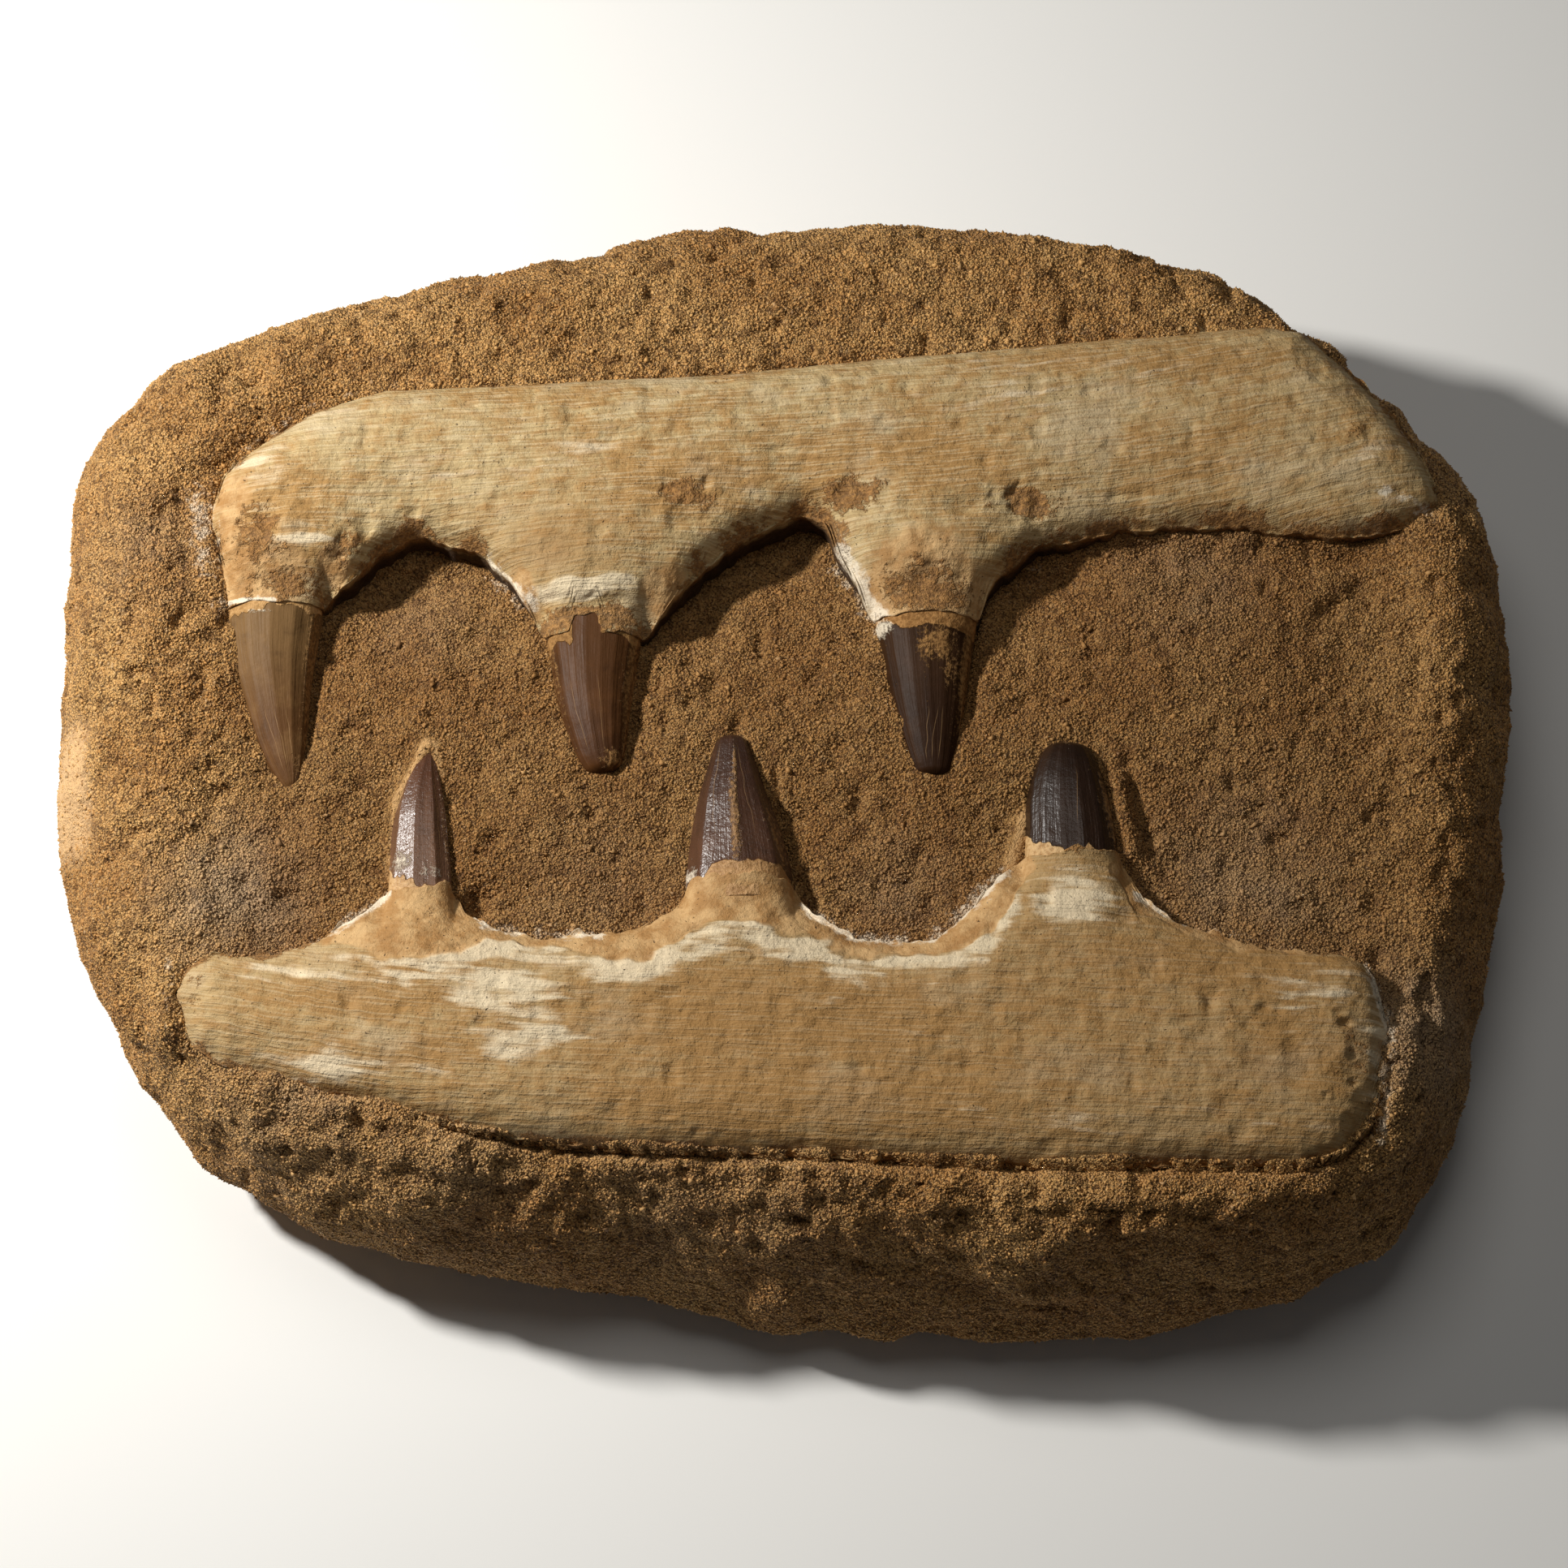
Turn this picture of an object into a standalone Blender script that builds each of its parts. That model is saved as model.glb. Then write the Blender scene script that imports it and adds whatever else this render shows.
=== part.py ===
"""Fossil jaws in sandstone: a rounded block with two jaw bones and six tooth crowns in its upper face.

The block lies on its flat underside. +X runs along the jaws, +Y to the back of the block and +Z up,
and the origin is the middle of the block's footprint on the surface that it rests on. The crowns of
the upper jaw point to the front, those of the lower jaw to the back.
"""

import math

import bmesh
import bpy
import numpy as np
from mathutils import Matrix

MM = 0.001

# Gap between pieces that touch, in millimetres
GAP = 0.3

# Distance within which points are one point, in metres, and the angle from which an edge looks sharp
WELD_DISTANCE = 0.00001
SHARP_ANGLE = math.radians(40)
TINY = 1e-9

# Middle of the finished block's footprint, as x and y in the numbers below, in millimetres
FOOTPRINT_MIDDLE = (0.6, -1.35)

# The block's widest line seen from above, anticlockwise from the right end, in millimetres
BLOCK_OUTLINE = (
    (126, 2), (126, 24), (121.5, 44), (110, 59.5), (95.5, 74.5), (78, 85.5), (57, 92.5), (30, 95.8),
    (4, 96.5), (-21, 93.5), (-46, 88.5), (-73, 84), (-96.5, 76.5), (-112, 66), (-123, 47), (-125, 20),
    (-124.5, -8), (-120, -36), (-109, -58), (-90, -75.5), (-66, -85.5), (-36, -90), (-8, -95.5),
    (28, -98.5), (65, -98), (93, -90.5), (110, -77), (118, -52), (124, -22),
)

# The block's edge at every 30 degrees anticlockwise from +X, in millimetres: width of the rounded rim,
# height of the widest line and inset of the underside, then the fullness of the rim's curve
BLOCK_EDGE = (
    (18, 22, 15, 2.0), (10, 25, 14, 2.2), (10, 30, 15, 2.3), (15, 32, 16, 2.2),
    (18, 31, 17, 2.1), (20, 27, 17, 2.0), (25, 24, 18, 2.0), (15, 18, 24, 1.8),
    (19, 12, 28, 1.5), (19, 9, 24, 1.4), (17, 10, 20, 1.5), (14, 17, 18, 1.8),
)
UNDERSIDE_FULLNESS = 2.2

# Upper face of the stone: its height at the back and the front, then the floor carved between the jaws
BACK_HEIGHT = 47.5
FRONT_HEIGHT = 44.5
FLOOR_DEPTH = 4.0
HOLLOW_DEPTH = 8.5
SHALLOW_DEPTH = 5.0

# Stretches over which that face changes: y of the tilt, y of the floor's front and back walls, x of its
# left and right walls, x where the hollow turns shallow, and y where the floor deepens to the hollow
TILT_SPAN = (-80.0, 70.0)
FRONT_WALL = (-60.0, -44.0)
BACK_WALL = (38.0, 58.0)
LEFT_WALL = (-110.0, -80.0)
RIGHT_WALL = (98.0, 124.0)
SHALLOW_SPAN = (35.0, 65.0)
DEEPENING_SPAN = (-8.0, 34.0)

# Lumps on the stone: size across, then height on the upper face and on the sides
LUMPS = ((19.0, 0.8, 2.0), (8.5, 0.6, 1.5))

# Points on each span of the outlines' curves, and how flat the grid's angles are for the wide block
SPAN_POINTS = 8
BLOCK_ASPECT = 0.8

# Jaw bones: the back and front edges of each face, left to right, in millimetres. The level stretches
# of the front edge of the upper jaw and of the back edge of the lower jaw are the ends of the roots.
UPPER_JAW = {
    "back": ((-97, 38), (-96, 43), (-90, 49), (-80, 56), (-68, 60), (-45, 61), (-10, 63), (28, 67),
             (60, 70), (84, 72), (91, 71), (98, 64), (106, 55), (111, 46), (113, 40)),
    "front": ((-97, 34), (-96, 27), (-94.8, 20.4), (-78, 20.4), (-74, 24.5), (-68, 30), (-62, 33),
              (-57, 32), (-51, 30), (-46, 25), (-42, 19), (-40, 14.9), (-23.2, 14.9), (-17.5, 22),
              (-11, 29), (-4, 34), (4, 37.5), (8, 36), (9.5, 31), (12, 27), (16, 18.4), (34.2, 18.4),
              (36, 24), (44, 31), (59, 34.5), (76, 35), (95, 33), (104, 34), (113, 37)),
    "edge_height": 47.6, "rise": 4.2, "back_slope": 9.0, "front_slope": 18.0,
    "root_line": 33.0, "root_drop": 1.8, "root_length": 18.0, "underside": 36.0,
}
LOWER_JAW = {
    "back": ((-99.5, -47), (-98, -44), (-94, -42), (-84, -42), (-76, -39), (-70, -35), (-65.6, -30.4),
             (-54.2, -30.4), (-52, -34.5), (-48, -37), (-40, -39), (-29, -38), (-22, -37),
             (-16.5, -33), (-15.4, -28.9), (2, -28.9), (5, -35), (12, -39), (20, -40), (26, -39),
             (32, -34), (37, -27), (40.8, -24.4), (57.2, -24.4), (61, -33), (66, -36), (74, -39),
             (83, -41), (92, -41.5), (96, -43), (99, -47), (100, -54)),
    "front": ((-99.5, -51), (-97, -57), (-91, -61), (-84, -63), (-75, -66), (-66, -67.5), (-58, -70),
              (-50, -72), (-40, -73.5), (-22, -75), (-4, -75.5), (25, -77), (49, -78), (67, -77.5),
              (85, -78), (92, -76), (97, -71), (99, -63), (100, -57)),
    "edge_height": 45.4, "rise": 3.4, "back_slope": 12.0, "front_slope": 10.0,
    "root_line": -39.0, "root_drop": 0.4, "root_length": 14.0, "underside": 37.5,
}
COLUMN_WIDTH = 4.2
BONE_ROWS = (0.0, 0.06, 0.18, 0.36, 0.58, 0.78, 0.92, 1.0)
EDGE_ROLL = 2.6
EDGE_DROP = 1.1
CORNER_REACH = 1.2
CORNER_SAMPLES = 7
EDGE_SAMPLES = 400
POCKET_HEADROOM = 12.0

# Crowns: points along the middle of each, from the root to the tip, as x, y, height and half the width
CROWNS = {
    "upper_tooth_1": ((-86.4, 20, 40.6, 8.1), (-86.4, 17, 40.6, 7.8), (-86.2, 11, 40.7, 6.9),
                      (-85.3, 4, 40.9, 5.5), (-84.4, -2, 41.2, 4.4), (-83.4, -7, 41.4, 3.1),
                      (-82.5, -10.5, 41.6, 1.7), (-82.0, -12.3, 41.7, 0.5)),
    "upper_tooth_2": ((-31.6, 14.5, 40.6, 7.9), (-31.6, 11.5, 40.6, 7.4), (-31.5, 6, 40.8, 6.6),
                      (-31.1, 1, 41.1, 5.7), (-30.4, -4, 41.4, 4.6), (-29.8, -7.5, 41.6, 3.5),
                      (-29.4, -9.4, 41.7, 1.9)),
    "upper_tooth_3": ((25.1, 18, 40.4, 8.6), (25.1, 15, 40.4, 8.0), (25.2, 9, 40.6, 7.0),
                      (25.4, 3, 40.9, 5.8), (25.7, -3, 41.3, 4.1), (25.9, -7.5, 41.6, 2.4),
                      (26.0, -10, 41.8, 1.1)),
    "lower_tooth_1": ((-59.9, -30, 41.6, 5.3), (-59.9, -27, 41.6, 5.2), (-60.1, -22, 41.7, 4.8),
                      (-60.2, -16, 41.8, 4.2), (-59.9, -11, 41.9, 3.0), (-59.4, -7, 42.0, 1.5),
                      (-59.1, -5, 42.0, 0.6)),
    "lower_tooth_2": ((-6.7, -28.5, 41.4, 8.3), (-6.7, -26, 41.4, 8.0), (-6.7, -20, 41.5, 7.5),
                      (-6.7, -14, 41.7, 6.6), (-6.6, -8, 41.9, 4.5), (-6.5, -4, 42.0, 2.6),
                      (-6.5, -2, 42.0, 1.2)),
    "lower_tooth_3": ((49.0, -24, 41.4, 7.8), (49.0, -21, 41.4, 7.7), (48.6, -15, 41.5, 7.1),
                      (48.5, -10, 41.7, 6.1), (48.6, -6, 41.9, 4.6), (48.7, -3.4, 42.0, 2.6)),
}
CROWN_FLATNESS = 0.7

# Colour, roughness and metallic value of each piece
STONE_FINISH = ((0.27, 0.14, 0.05), 0.9, 0.0)
BONE_FINISH = ((0.49, 0.31, 0.14), 0.75, 0.0)
ENAMEL_FINISH = {
    "upper_tooth_1": ((0.13, 0.075, 0.035), 0.35, 0.0),
    "upper_tooth_2": ((0.075, 0.035, 0.013), 0.35, 0.0),
    "upper_tooth_3": ((0.03, 0.014, 0.007), 0.35, 0.0),
    "lower_tooth_1": ((0.11, 0.06, 0.035), 0.3, 0.0),
    "lower_tooth_2": ((0.05, 0.025, 0.014), 0.3, 0.0),
    "lower_tooth_3": ((0.02, 0.009, 0.005), 0.3, 0.0),
}

LATTICE = np.random.default_rng(11).uniform(-1.0, 1.0, (32, 32, 32))


def ease(low, high, value):
    """Smooth step: 0 up to low, 1 from high on, level at both."""
    share = np.clip((value - low) / (high - low), 0.0, 1.0)
    return share * share * (3.0 - 2.0 * share)


def smooth_loop(rows):
    """Closed Catmull-Rom curve through rows of numbers."""
    here = np.array(rows, dtype=float)
    before, after, beyond = (np.roll(here, shift, axis=0) for shift in (1, -1, -2))
    t = (np.arange(SPAN_POINTS) / SPAN_POINTS)[:, None, None]
    curve = here + 0.5 * t * (after - before)
    curve = curve + 0.5 * t**2 * (2 * before - 5 * here + 4 * after - beyond)
    curve = curve + 0.5 * t**3 * (3 * here - before - 3 * after + beyond)
    return curve.transpose(1, 0, 2).reshape(-1, here.shape[1])


def lumps(x, y, z, size):
    """Repeatable bumpy field from -1 to 1, smooth over the size given."""
    cell = np.stack([np.asarray(c, dtype=float) / size for c in np.broadcast_arrays(x, y, z)])
    corner = np.floor(cell).astype(int)
    share = ease(0.0, 1.0, cell - corner)
    total = 0.0
    for step in np.ndindex(2, 2, 2):
        place = [(corner[axis] + step[axis]) % len(LATTICE) for axis in range(3)]
        weight = 1.0
        for axis in range(3):
            weight = weight * (share[axis] if step[axis] else 1.0 - share[axis])
        total = total + weight * LATTICE[place[0], place[1], place[2]]
    return total


def top_height(x, y):
    """Height of the stone's upper face, with the floor carved between the jaws."""
    plain = FRONT_HEIGHT + (BACK_HEIGHT - FRONT_HEIGHT) * ease(*TILT_SPAN, y)
    between = ease(*FRONT_WALL, y) * (1.0 - ease(*BACK_WALL, y))
    across = ease(*LEFT_WALL, x) * (1.0 - ease(*RIGHT_WALL, x))
    deepest = HOLLOW_DEPTH + (SHALLOW_DEPTH - HOLLOW_DEPTH) * ease(*SHALLOW_SPAN, x)
    depth = FLOOR_DEPTH + (deepest - FLOOR_DEPTH) * ease(*DEEPENING_SPAN, y)
    return plain - depth * between * across


def block_point(step, angle):
    """Point on the block in a direction: step 0 is the middle of the top, 1 the start of the rim,
    2 the widest line and 3 the edge of the underside. Both curves of the side are superellipses."""
    loop = smooth_loop(BLOCK_OUTLINE)
    heading = np.arctan2(loop[:, 1], loop[:, 0])
    radius = np.interp(angle, heading, np.hypot(loop[:, 0], loop[:, 1]), period=2 * math.pi)
    edge = smooth_loop(BLOCK_EDGE)
    turns = np.linspace(0, 2 * math.pi, len(edge), endpoint=False)
    rim, widest, inset, fullness = (np.interp(angle, turns, row, period=2 * math.pi) for row in edge.T)
    upper = np.clip(step - 1.0, 0.0, 1.0) * math.pi / 2
    lower = np.clip(step - 2.0, 0.0, 1.0) * math.pi / 2
    outward = np.sin(upper) ** (2 / fullness)
    tuck = 1.0 - np.clip(np.cos(lower), 0.0, 1.0) ** (2 / UNDERSIDE_FULLNESS)
    reach = (radius - rim) * np.minimum(step, 1.0) + rim * outward - inset * tuck
    x = reach * np.cos(angle)
    y = reach * np.sin(angle)
    fall = np.clip(np.cos(upper), 0.0, 1.0) ** (2 / fullness)
    sink = 1.0 - np.sin(lower) ** (2 / UNDERSIDE_FULLNESS)
    z = (widest + (top_height(x, y) - widest) * fall) * sink
    side = 0.0
    rise = 0.0
    for size, top_lump, side_lump in LUMPS:
        bump = lumps(x, y, z, size) * np.cos(lower)
        side = side + bump * side_lump * np.sin(upper)
        rise = rise + bump * top_lump * np.cos(upper)
    return x + side * np.cos(angle), y + side * np.sin(angle), z + rise


def edge_line(points, x):
    """Depth of a jaw's edge at x: straight between the points, with its corners rounded."""
    xs, ys = np.array(points, dtype=float).T
    reach = np.linspace(-CORNER_REACH, CORNER_REACH, CORNER_SAMPLES)
    return np.mean([np.interp(x + offset, xs, ys) for offset in reach], axis=0)


def bone_height(jaw, x, y):
    """Height of a jaw's face: crowned between its edges, falling over the roots, rolled at the edge."""
    along = np.linspace(jaw["back"][0][0], jaw["back"][-1][0], EDGE_SAMPLES)
    front = np.stack([along, edge_line(jaw["front"], along)])
    back = np.stack([along, edge_line(jaw["back"], along)])
    here = np.stack([x, y])[:, :, None]
    to_front = np.min(np.linalg.norm(here - front[:, None, :], axis=0), axis=1)
    to_back = np.min(np.linalg.norm(here - back[:, None, :], axis=0), axis=1)
    crown = 1.0 - (1.0 - np.clip(to_back / jaw["back_slope"], 0.0, 1.0)) ** 2
    crown = crown * (1.0 - (1.0 - np.clip(to_front / jaw["front_slope"], 0.0, 1.0)) ** 2)
    toward_root = (jaw["root_line"] - y) if jaw is UPPER_JAW else (y - jaw["root_line"])
    drop = jaw["root_drop"] * ease(0.0, jaw["root_length"], toward_root)
    roll = EDGE_DROP * (1.0 - np.clip(np.minimum(to_front, to_back) / EDGE_ROLL, 0.0, 1.0)) ** 2
    return jaw["edge_height"] + jaw["rise"] * crown - drop - roll


def column_places(jaw):
    """Places along a jaw for its columns of faces: at each point of its edges and evenly between them."""
    corners = sorted({float(x) for line in ("back", "front") for x, _ in jaw[line]})
    places = [corners[0]]
    for corner in corners[1:]:
        if corner - places[-1] < COLUMN_WIDTH / 3:
            continue
        spans = math.ceil((corner - places[-1]) / COLUMN_WIDTH)
        places.extend(np.linspace(places[-1], corner, spans + 1)[1:])
    places[-1] = corners[-1]
    return np.array(places)


def finish_material(name, finish):
    """Principled material of one piece."""
    colour, roughness, metallic = finish
    material = bpy.data.materials.new(name)
    material.use_nodes = True
    shader = material.node_tree.nodes["Principled BSDF"]
    shader.inputs["Base Color"].default_value = (*colour, 1.0)
    shader.inputs["Roughness"].default_value = roughness
    shader.inputs["Metallic"].default_value = metallic
    return material


def add_object(name, mesh, collection, finish=None):
    """Object from a mesh, in a collection, with its own material, moved so that the origin is the
    middle of the footprint."""
    mesh.transform(Matrix.Translation((-FOOTPRINT_MIDDLE[0] * MM, -FOOTPRINT_MIDDLE[1] * MM, 0.0)))
    piece = bpy.data.objects.new(name, mesh)
    collection.objects.link(piece)
    if finish:
        mesh.materials.append(finish_material(name, finish))
        mesh.shade_smooth()
        mesh.set_sharp_from_angle(angle=SHARP_ANGLE)
    return piece


def move_points(verts, x, y, z):
    """Moves vertices to the places given in millimetres."""
    for vert, place in zip(verts, np.stack([x, y, z], axis=1) * MM):
        vert.co = place


def border_down(bm, edges):
    """Extrudes border edges and returns the new border's edges and vertices."""
    grown = bmesh.ops.extrude_edge_only(bm, edges=edges)["geom"]
    verts = [part for part in grown if isinstance(part, bmesh.types.BMVert)]
    lower = [part for part in grown if isinstance(part, bmesh.types.BMEdge) and part.is_boundary]
    return lower, verts


def close_and_write(bm, name):
    """Fills the open underside, makes the faces triangles that point out and writes the mesh."""
    bmesh.ops.holes_fill(bm, edges=[edge for edge in bm.edges if edge.is_boundary])
    bmesh.ops.triangulate(bm, faces=bm.faces[:])
    bmesh.ops.recalc_face_normals(bm, faces=bm.faces[:])
    mesh = bpy.data.meshes.new(name)
    bm.to_mesh(mesh)
    bm.free()
    return mesh


def block_mesh(columns=40, rows=31, flat_share=0.8, side_steps=(1.45, 1.62, 1.8, 2, 2.25, 2.5, 2.75, 3)):
    """The block: a square grid bent over the top to the first side step, then its border carried down
    the sides through the others."""
    bm = bmesh.new()
    bmesh.ops.create_grid(bm, x_segments=columns, y_segments=rows, size=1.0)
    flat = np.array([vert.co[:2] for vert in bm.verts])
    ring = np.max(np.abs(flat), axis=1)
    sideways = np.abs(flat[:, 0]) >= np.abs(flat[:, 1])
    safe = np.maximum(ring, TINY)
    eighth = math.pi / 4
    turn = np.where(sideways, eighth * flat[:, 1] / safe, math.pi / 2 - eighth * flat[:, 0] / safe)
    turn = np.where(sideways & (flat[:, 0] < 0), math.pi - turn, turn)
    turn = np.where(~sideways & (flat[:, 1] < 0), -turn, turn)
    angle = np.arctan2(BLOCK_ASPECT * np.sin(turn), np.cos(turn))
    step = np.interp(ring, (0.0, flat_share, 1.0), (0.0, 1.0, side_steps[0]))
    heading = dict(zip(bm.verts, angle))
    move_points(bm.verts, *block_point(step, angle))
    border = [edge for edge in bm.edges if edge.is_boundary]
    for level in side_steps[1:]:
        above = {vert for edge in border for vert in edge.verts}
        border, verts = border_down(bm, border)
        for vert in verts:
            top = next(edge.other_vert(vert) for edge in vert.link_edges if edge.other_vert(vert) in above)
            heading[vert] = heading[top]
        angles = np.array([heading[vert] for vert in verts])
        move_points(verts, *block_point(np.full(len(verts), level), angles))
    return close_and_write(bm, "matrix")


def jaw_mesh(name, jaw):
    """A jaw: a grid laid between its two edges, then its border carried down to a flat underside."""
    places = column_places(jaw)
    bm = bmesh.new()
    bmesh.ops.create_grid(bm, x_segments=len(places) - 1, y_segments=len(BONE_ROWS) - 1, size=1.0)
    flat = np.array([vert.co[:2] for vert in bm.verts])
    column = np.rint((flat[:, 0] + 1) / 2 * (len(places) - 1)).astype(int)
    row = np.rint((1 - flat[:, 1]) / 2 * (len(BONE_ROWS) - 1)).astype(int)
    x = places[column]
    across = np.array(BONE_ROWS)[row]
    y = edge_line(jaw["back"], x) * (1 - across) + edge_line(jaw["front"], x) * across
    move_points(bm.verts, x, y, bone_height(jaw, x, y))
    _, verts = border_down(bm, [edge for edge in bm.edges if edge.is_boundary])
    for vert in verts:
        vert.co.z = jaw["underside"] * MM
    return close_and_write(bm, name)


def jaw_outline(jaw, grow):
    """Closed outline of a jaw, moved outward by the amount given."""
    places = column_places(jaw)
    front = np.stack([places, edge_line(jaw["front"], places)], axis=1)
    back = np.stack([places, edge_line(jaw["back"], places)], axis=1)
    loop = np.concatenate([front, back[::-1]])
    along = np.roll(loop, -1, axis=0) - loop
    normals = np.stack([along[:, 1], -along[:, 0]], axis=1)
    normals = normals / np.linalg.norm(normals, axis=1)[:, None]
    before = np.roll(normals, 1, axis=0)
    mitre = (normals + before) / (1.0 + np.sum(normals * before, axis=1))[:, None]
    return loop + grow * mitre


def curve_mesh(curve, name):
    """Mesh of a curve with its caps welded; the curve is removed."""
    holder = bpy.data.objects.new(name, curve)
    bpy.context.scene.collection.objects.link(holder)
    bpy.context.view_layer.update()
    evaluated = holder.evaluated_get(bpy.context.evaluated_depsgraph_get())
    mesh = bpy.data.meshes.new_from_object(evaluated)
    mesh.materials.clear()
    bm = bmesh.new()
    bm.from_mesh(mesh)
    bmesh.ops.remove_doubles(bm, verts=bm.verts[:], dist=WELD_DISTANCE)
    bmesh.ops.triangulate(bm, faces=bm.faces[:])
    bmesh.ops.recalc_face_normals(bm, faces=bm.faces[:])
    bm.to_mesh(mesh)
    bm.free()
    bpy.data.objects.remove(holder)
    return mesh


def jaw_pocket(name, jaw):
    """Cutter of a jaw's pocket: its outline grown by the gap, as a filled curve with thickness."""
    low = jaw["underside"] - GAP
    high = jaw["edge_height"] + POCKET_HEADROOM
    curve = bpy.data.curves.new(name, "CURVE")
    curve.dimensions = "2D"
    curve.fill_mode = "BOTH"
    curve.extrude = (high - low) / 2 * MM
    outline = jaw_outline(jaw, GAP) * MM
    spline = curve.splines.new("POLY")
    spline.points.add(len(outline) - 1)
    for point, (x, y) in zip(spline.points, outline):
        point.co = (x, y, 0.0, 1.0)
    spline.use_cyclic_u = True
    mesh = curve_mesh(curve, name)
    for vert in mesh.vertices:
        vert.co.z += (low + high) / 2 * MM
    return mesh


def crown_mesh(name, points, grow=0.0):
    """A crown: a tapered tube along its middle line, flattened in height, with both ends capped."""
    path = np.array(points, dtype=float)
    path[:, 3] += grow / CROWN_FLATNESS
    path[0, :3] += grow * unit(path[0, :3] - path[1, :3])
    path[-1, :3] += grow * unit(path[-1, :3] - path[-2, :3])
    curve = bpy.data.curves.new(name, "CURVE")
    curve.dimensions = "3D"
    curve.bevel_depth = MM
    curve.bevel_resolution = 4
    curve.use_fill_caps = True
    spline = curve.splines.new("POLY")
    spline.points.add(len(path) - 1)
    level = path[0, 2]
    for point, (x, y, z, half_width) in zip(spline.points, path):
        point.co = (x * MM, y * MM, (z - level) / CROWN_FLATNESS * MM, 1.0)
        point.radius = half_width
    mesh = curve_mesh(curve, name)
    for vert in mesh.vertices:
        vert.co.z = vert.co.z * CROWN_FLATNESS + level * MM
    return mesh


def unit(vector):
    """Vector of length 1."""
    return vector / np.linalg.norm(vector)


def cut(piece, cutter):
    """Cuts a piece with a cutter that is kept out of the render."""
    cutter.hide_render = True
    cutter.display_type = "WIRE"
    modifier = piece.modifiers.new(cutter.name, "BOOLEAN")
    modifier.operation = "DIFFERENCE"
    modifier.solver = "EXACT"
    modifier.object = cutter


def build():
    """Makes the block, the jaws and the crowns, and cuts their pockets in the block."""
    for old in list(bpy.data.objects):
        bpy.data.objects.remove(old)
    parts = bpy.data.collections.new("fossil_teeth_in_matrix")
    cutters = bpy.data.collections.new("cutters")
    bpy.context.scene.collection.children.link(parts)
    bpy.context.scene.collection.children.link(cutters)

    block = add_object("matrix", block_mesh(), parts, STONE_FINISH)
    for name, jaw in (("upper_jaw", UPPER_JAW), ("lower_jaw", LOWER_JAW)):
        add_object(name, jaw_mesh(name, jaw), parts, BONE_FINISH)
        cut(block, add_object(name + "_pocket", jaw_pocket(name + "_pocket", jaw), cutters))
    for name, points in CROWNS.items():
        add_object(name, crown_mesh(name, points), parts, ENAMEL_FINISH[name])
        pocket = crown_mesh(name + "_pocket", points, grow=GAP)
        cut(block, add_object(name + "_pocket", pocket, cutters))


build()
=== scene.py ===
"""Looks of a sandstone block with two fossil jaw bones and six tooth crowns.

The stone, the bones and the crowns are surfaces worked out with numpy from the same driving dimensions
as their solids. Sand grains are small joined meshes on the stone. Shapes are worked out in millimetres
from the middle of the block, and moved by FOOTPRINT_MIDDLE into the solids' frame when a mesh is made.
"""

import math

import bpy
import numpy as np
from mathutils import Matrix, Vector


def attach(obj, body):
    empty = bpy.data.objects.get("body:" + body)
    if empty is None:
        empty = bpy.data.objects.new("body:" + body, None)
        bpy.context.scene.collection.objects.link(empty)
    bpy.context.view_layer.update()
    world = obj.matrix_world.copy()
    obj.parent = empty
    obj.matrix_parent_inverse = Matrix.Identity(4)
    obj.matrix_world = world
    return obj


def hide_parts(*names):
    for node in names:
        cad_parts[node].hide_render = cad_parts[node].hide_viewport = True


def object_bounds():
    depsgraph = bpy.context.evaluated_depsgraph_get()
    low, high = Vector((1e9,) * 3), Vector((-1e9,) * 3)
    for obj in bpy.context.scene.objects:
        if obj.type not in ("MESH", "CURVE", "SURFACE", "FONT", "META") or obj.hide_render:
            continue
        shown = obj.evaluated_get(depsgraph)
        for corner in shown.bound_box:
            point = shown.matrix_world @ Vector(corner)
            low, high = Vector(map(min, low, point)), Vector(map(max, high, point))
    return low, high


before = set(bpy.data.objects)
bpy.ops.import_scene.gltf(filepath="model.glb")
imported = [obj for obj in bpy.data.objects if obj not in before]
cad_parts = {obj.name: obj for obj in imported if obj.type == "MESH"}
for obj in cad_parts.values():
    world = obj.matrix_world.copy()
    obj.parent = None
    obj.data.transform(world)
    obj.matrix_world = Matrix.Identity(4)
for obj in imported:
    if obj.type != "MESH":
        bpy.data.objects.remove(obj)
CAD_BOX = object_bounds()

MM = 0.001
FOOTPRINT_MIDDLE = (0.6, -1.35)
TINY = 1e-9

# The block's widest line seen from above, anticlockwise from the right end
BLOCK_OUTLINE = (
    (126, 2), (126, 24), (121.5, 44), (110, 59.5), (95.5, 74.5), (78, 85.5), (57, 92.5), (30, 95.8),
    (4, 96.5), (-21, 93.5), (-46, 88.5), (-73, 84), (-96.5, 76.5), (-112, 66), (-123, 47), (-125, 20),
    (-124.5, -8), (-120, -36), (-109, -58), (-90, -75.5), (-66, -85.5), (-36, -90), (-8, -95.5),
    (28, -98.5), (65, -98), (93, -90.5), (110, -77), (118, -52), (124, -22),
)

# The block's edge at every 30 degrees anticlockwise from +X: width of the rounded rim, height of the
# widest line and inset of the underside, then the fullness of the rim's curve
BLOCK_EDGE = (
    (18, 22, 15, 2), (10, 25, 14, 2.2), (10, 30, 15, 2.3), (15, 32, 16, 2.2), (18, 31, 17, 2.1),
    (20, 27, 17, 2), (25, 24, 18, 2), (15, 18, 24, 1.8), (19, 12, 28, 1.5), (19, 9, 24, 1.4),
    (17, 10, 20, 1.5), (14, 17, 18, 1.8),
)
UNDERSIDE_FULLNESS = 2.2
SPAN_POINTS = 8
BLOCK_ASPECT = 0.8
GRAIN_MARGIN = 0.5
# Columns and rows of the stone's top, its share before the rim, and the steps of the rows down the side
STONE_GRID = (264, 206)
FLAT_SHARE = 0.86
SIDE_STEPS = (1.32, 3.0, 40)
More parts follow.
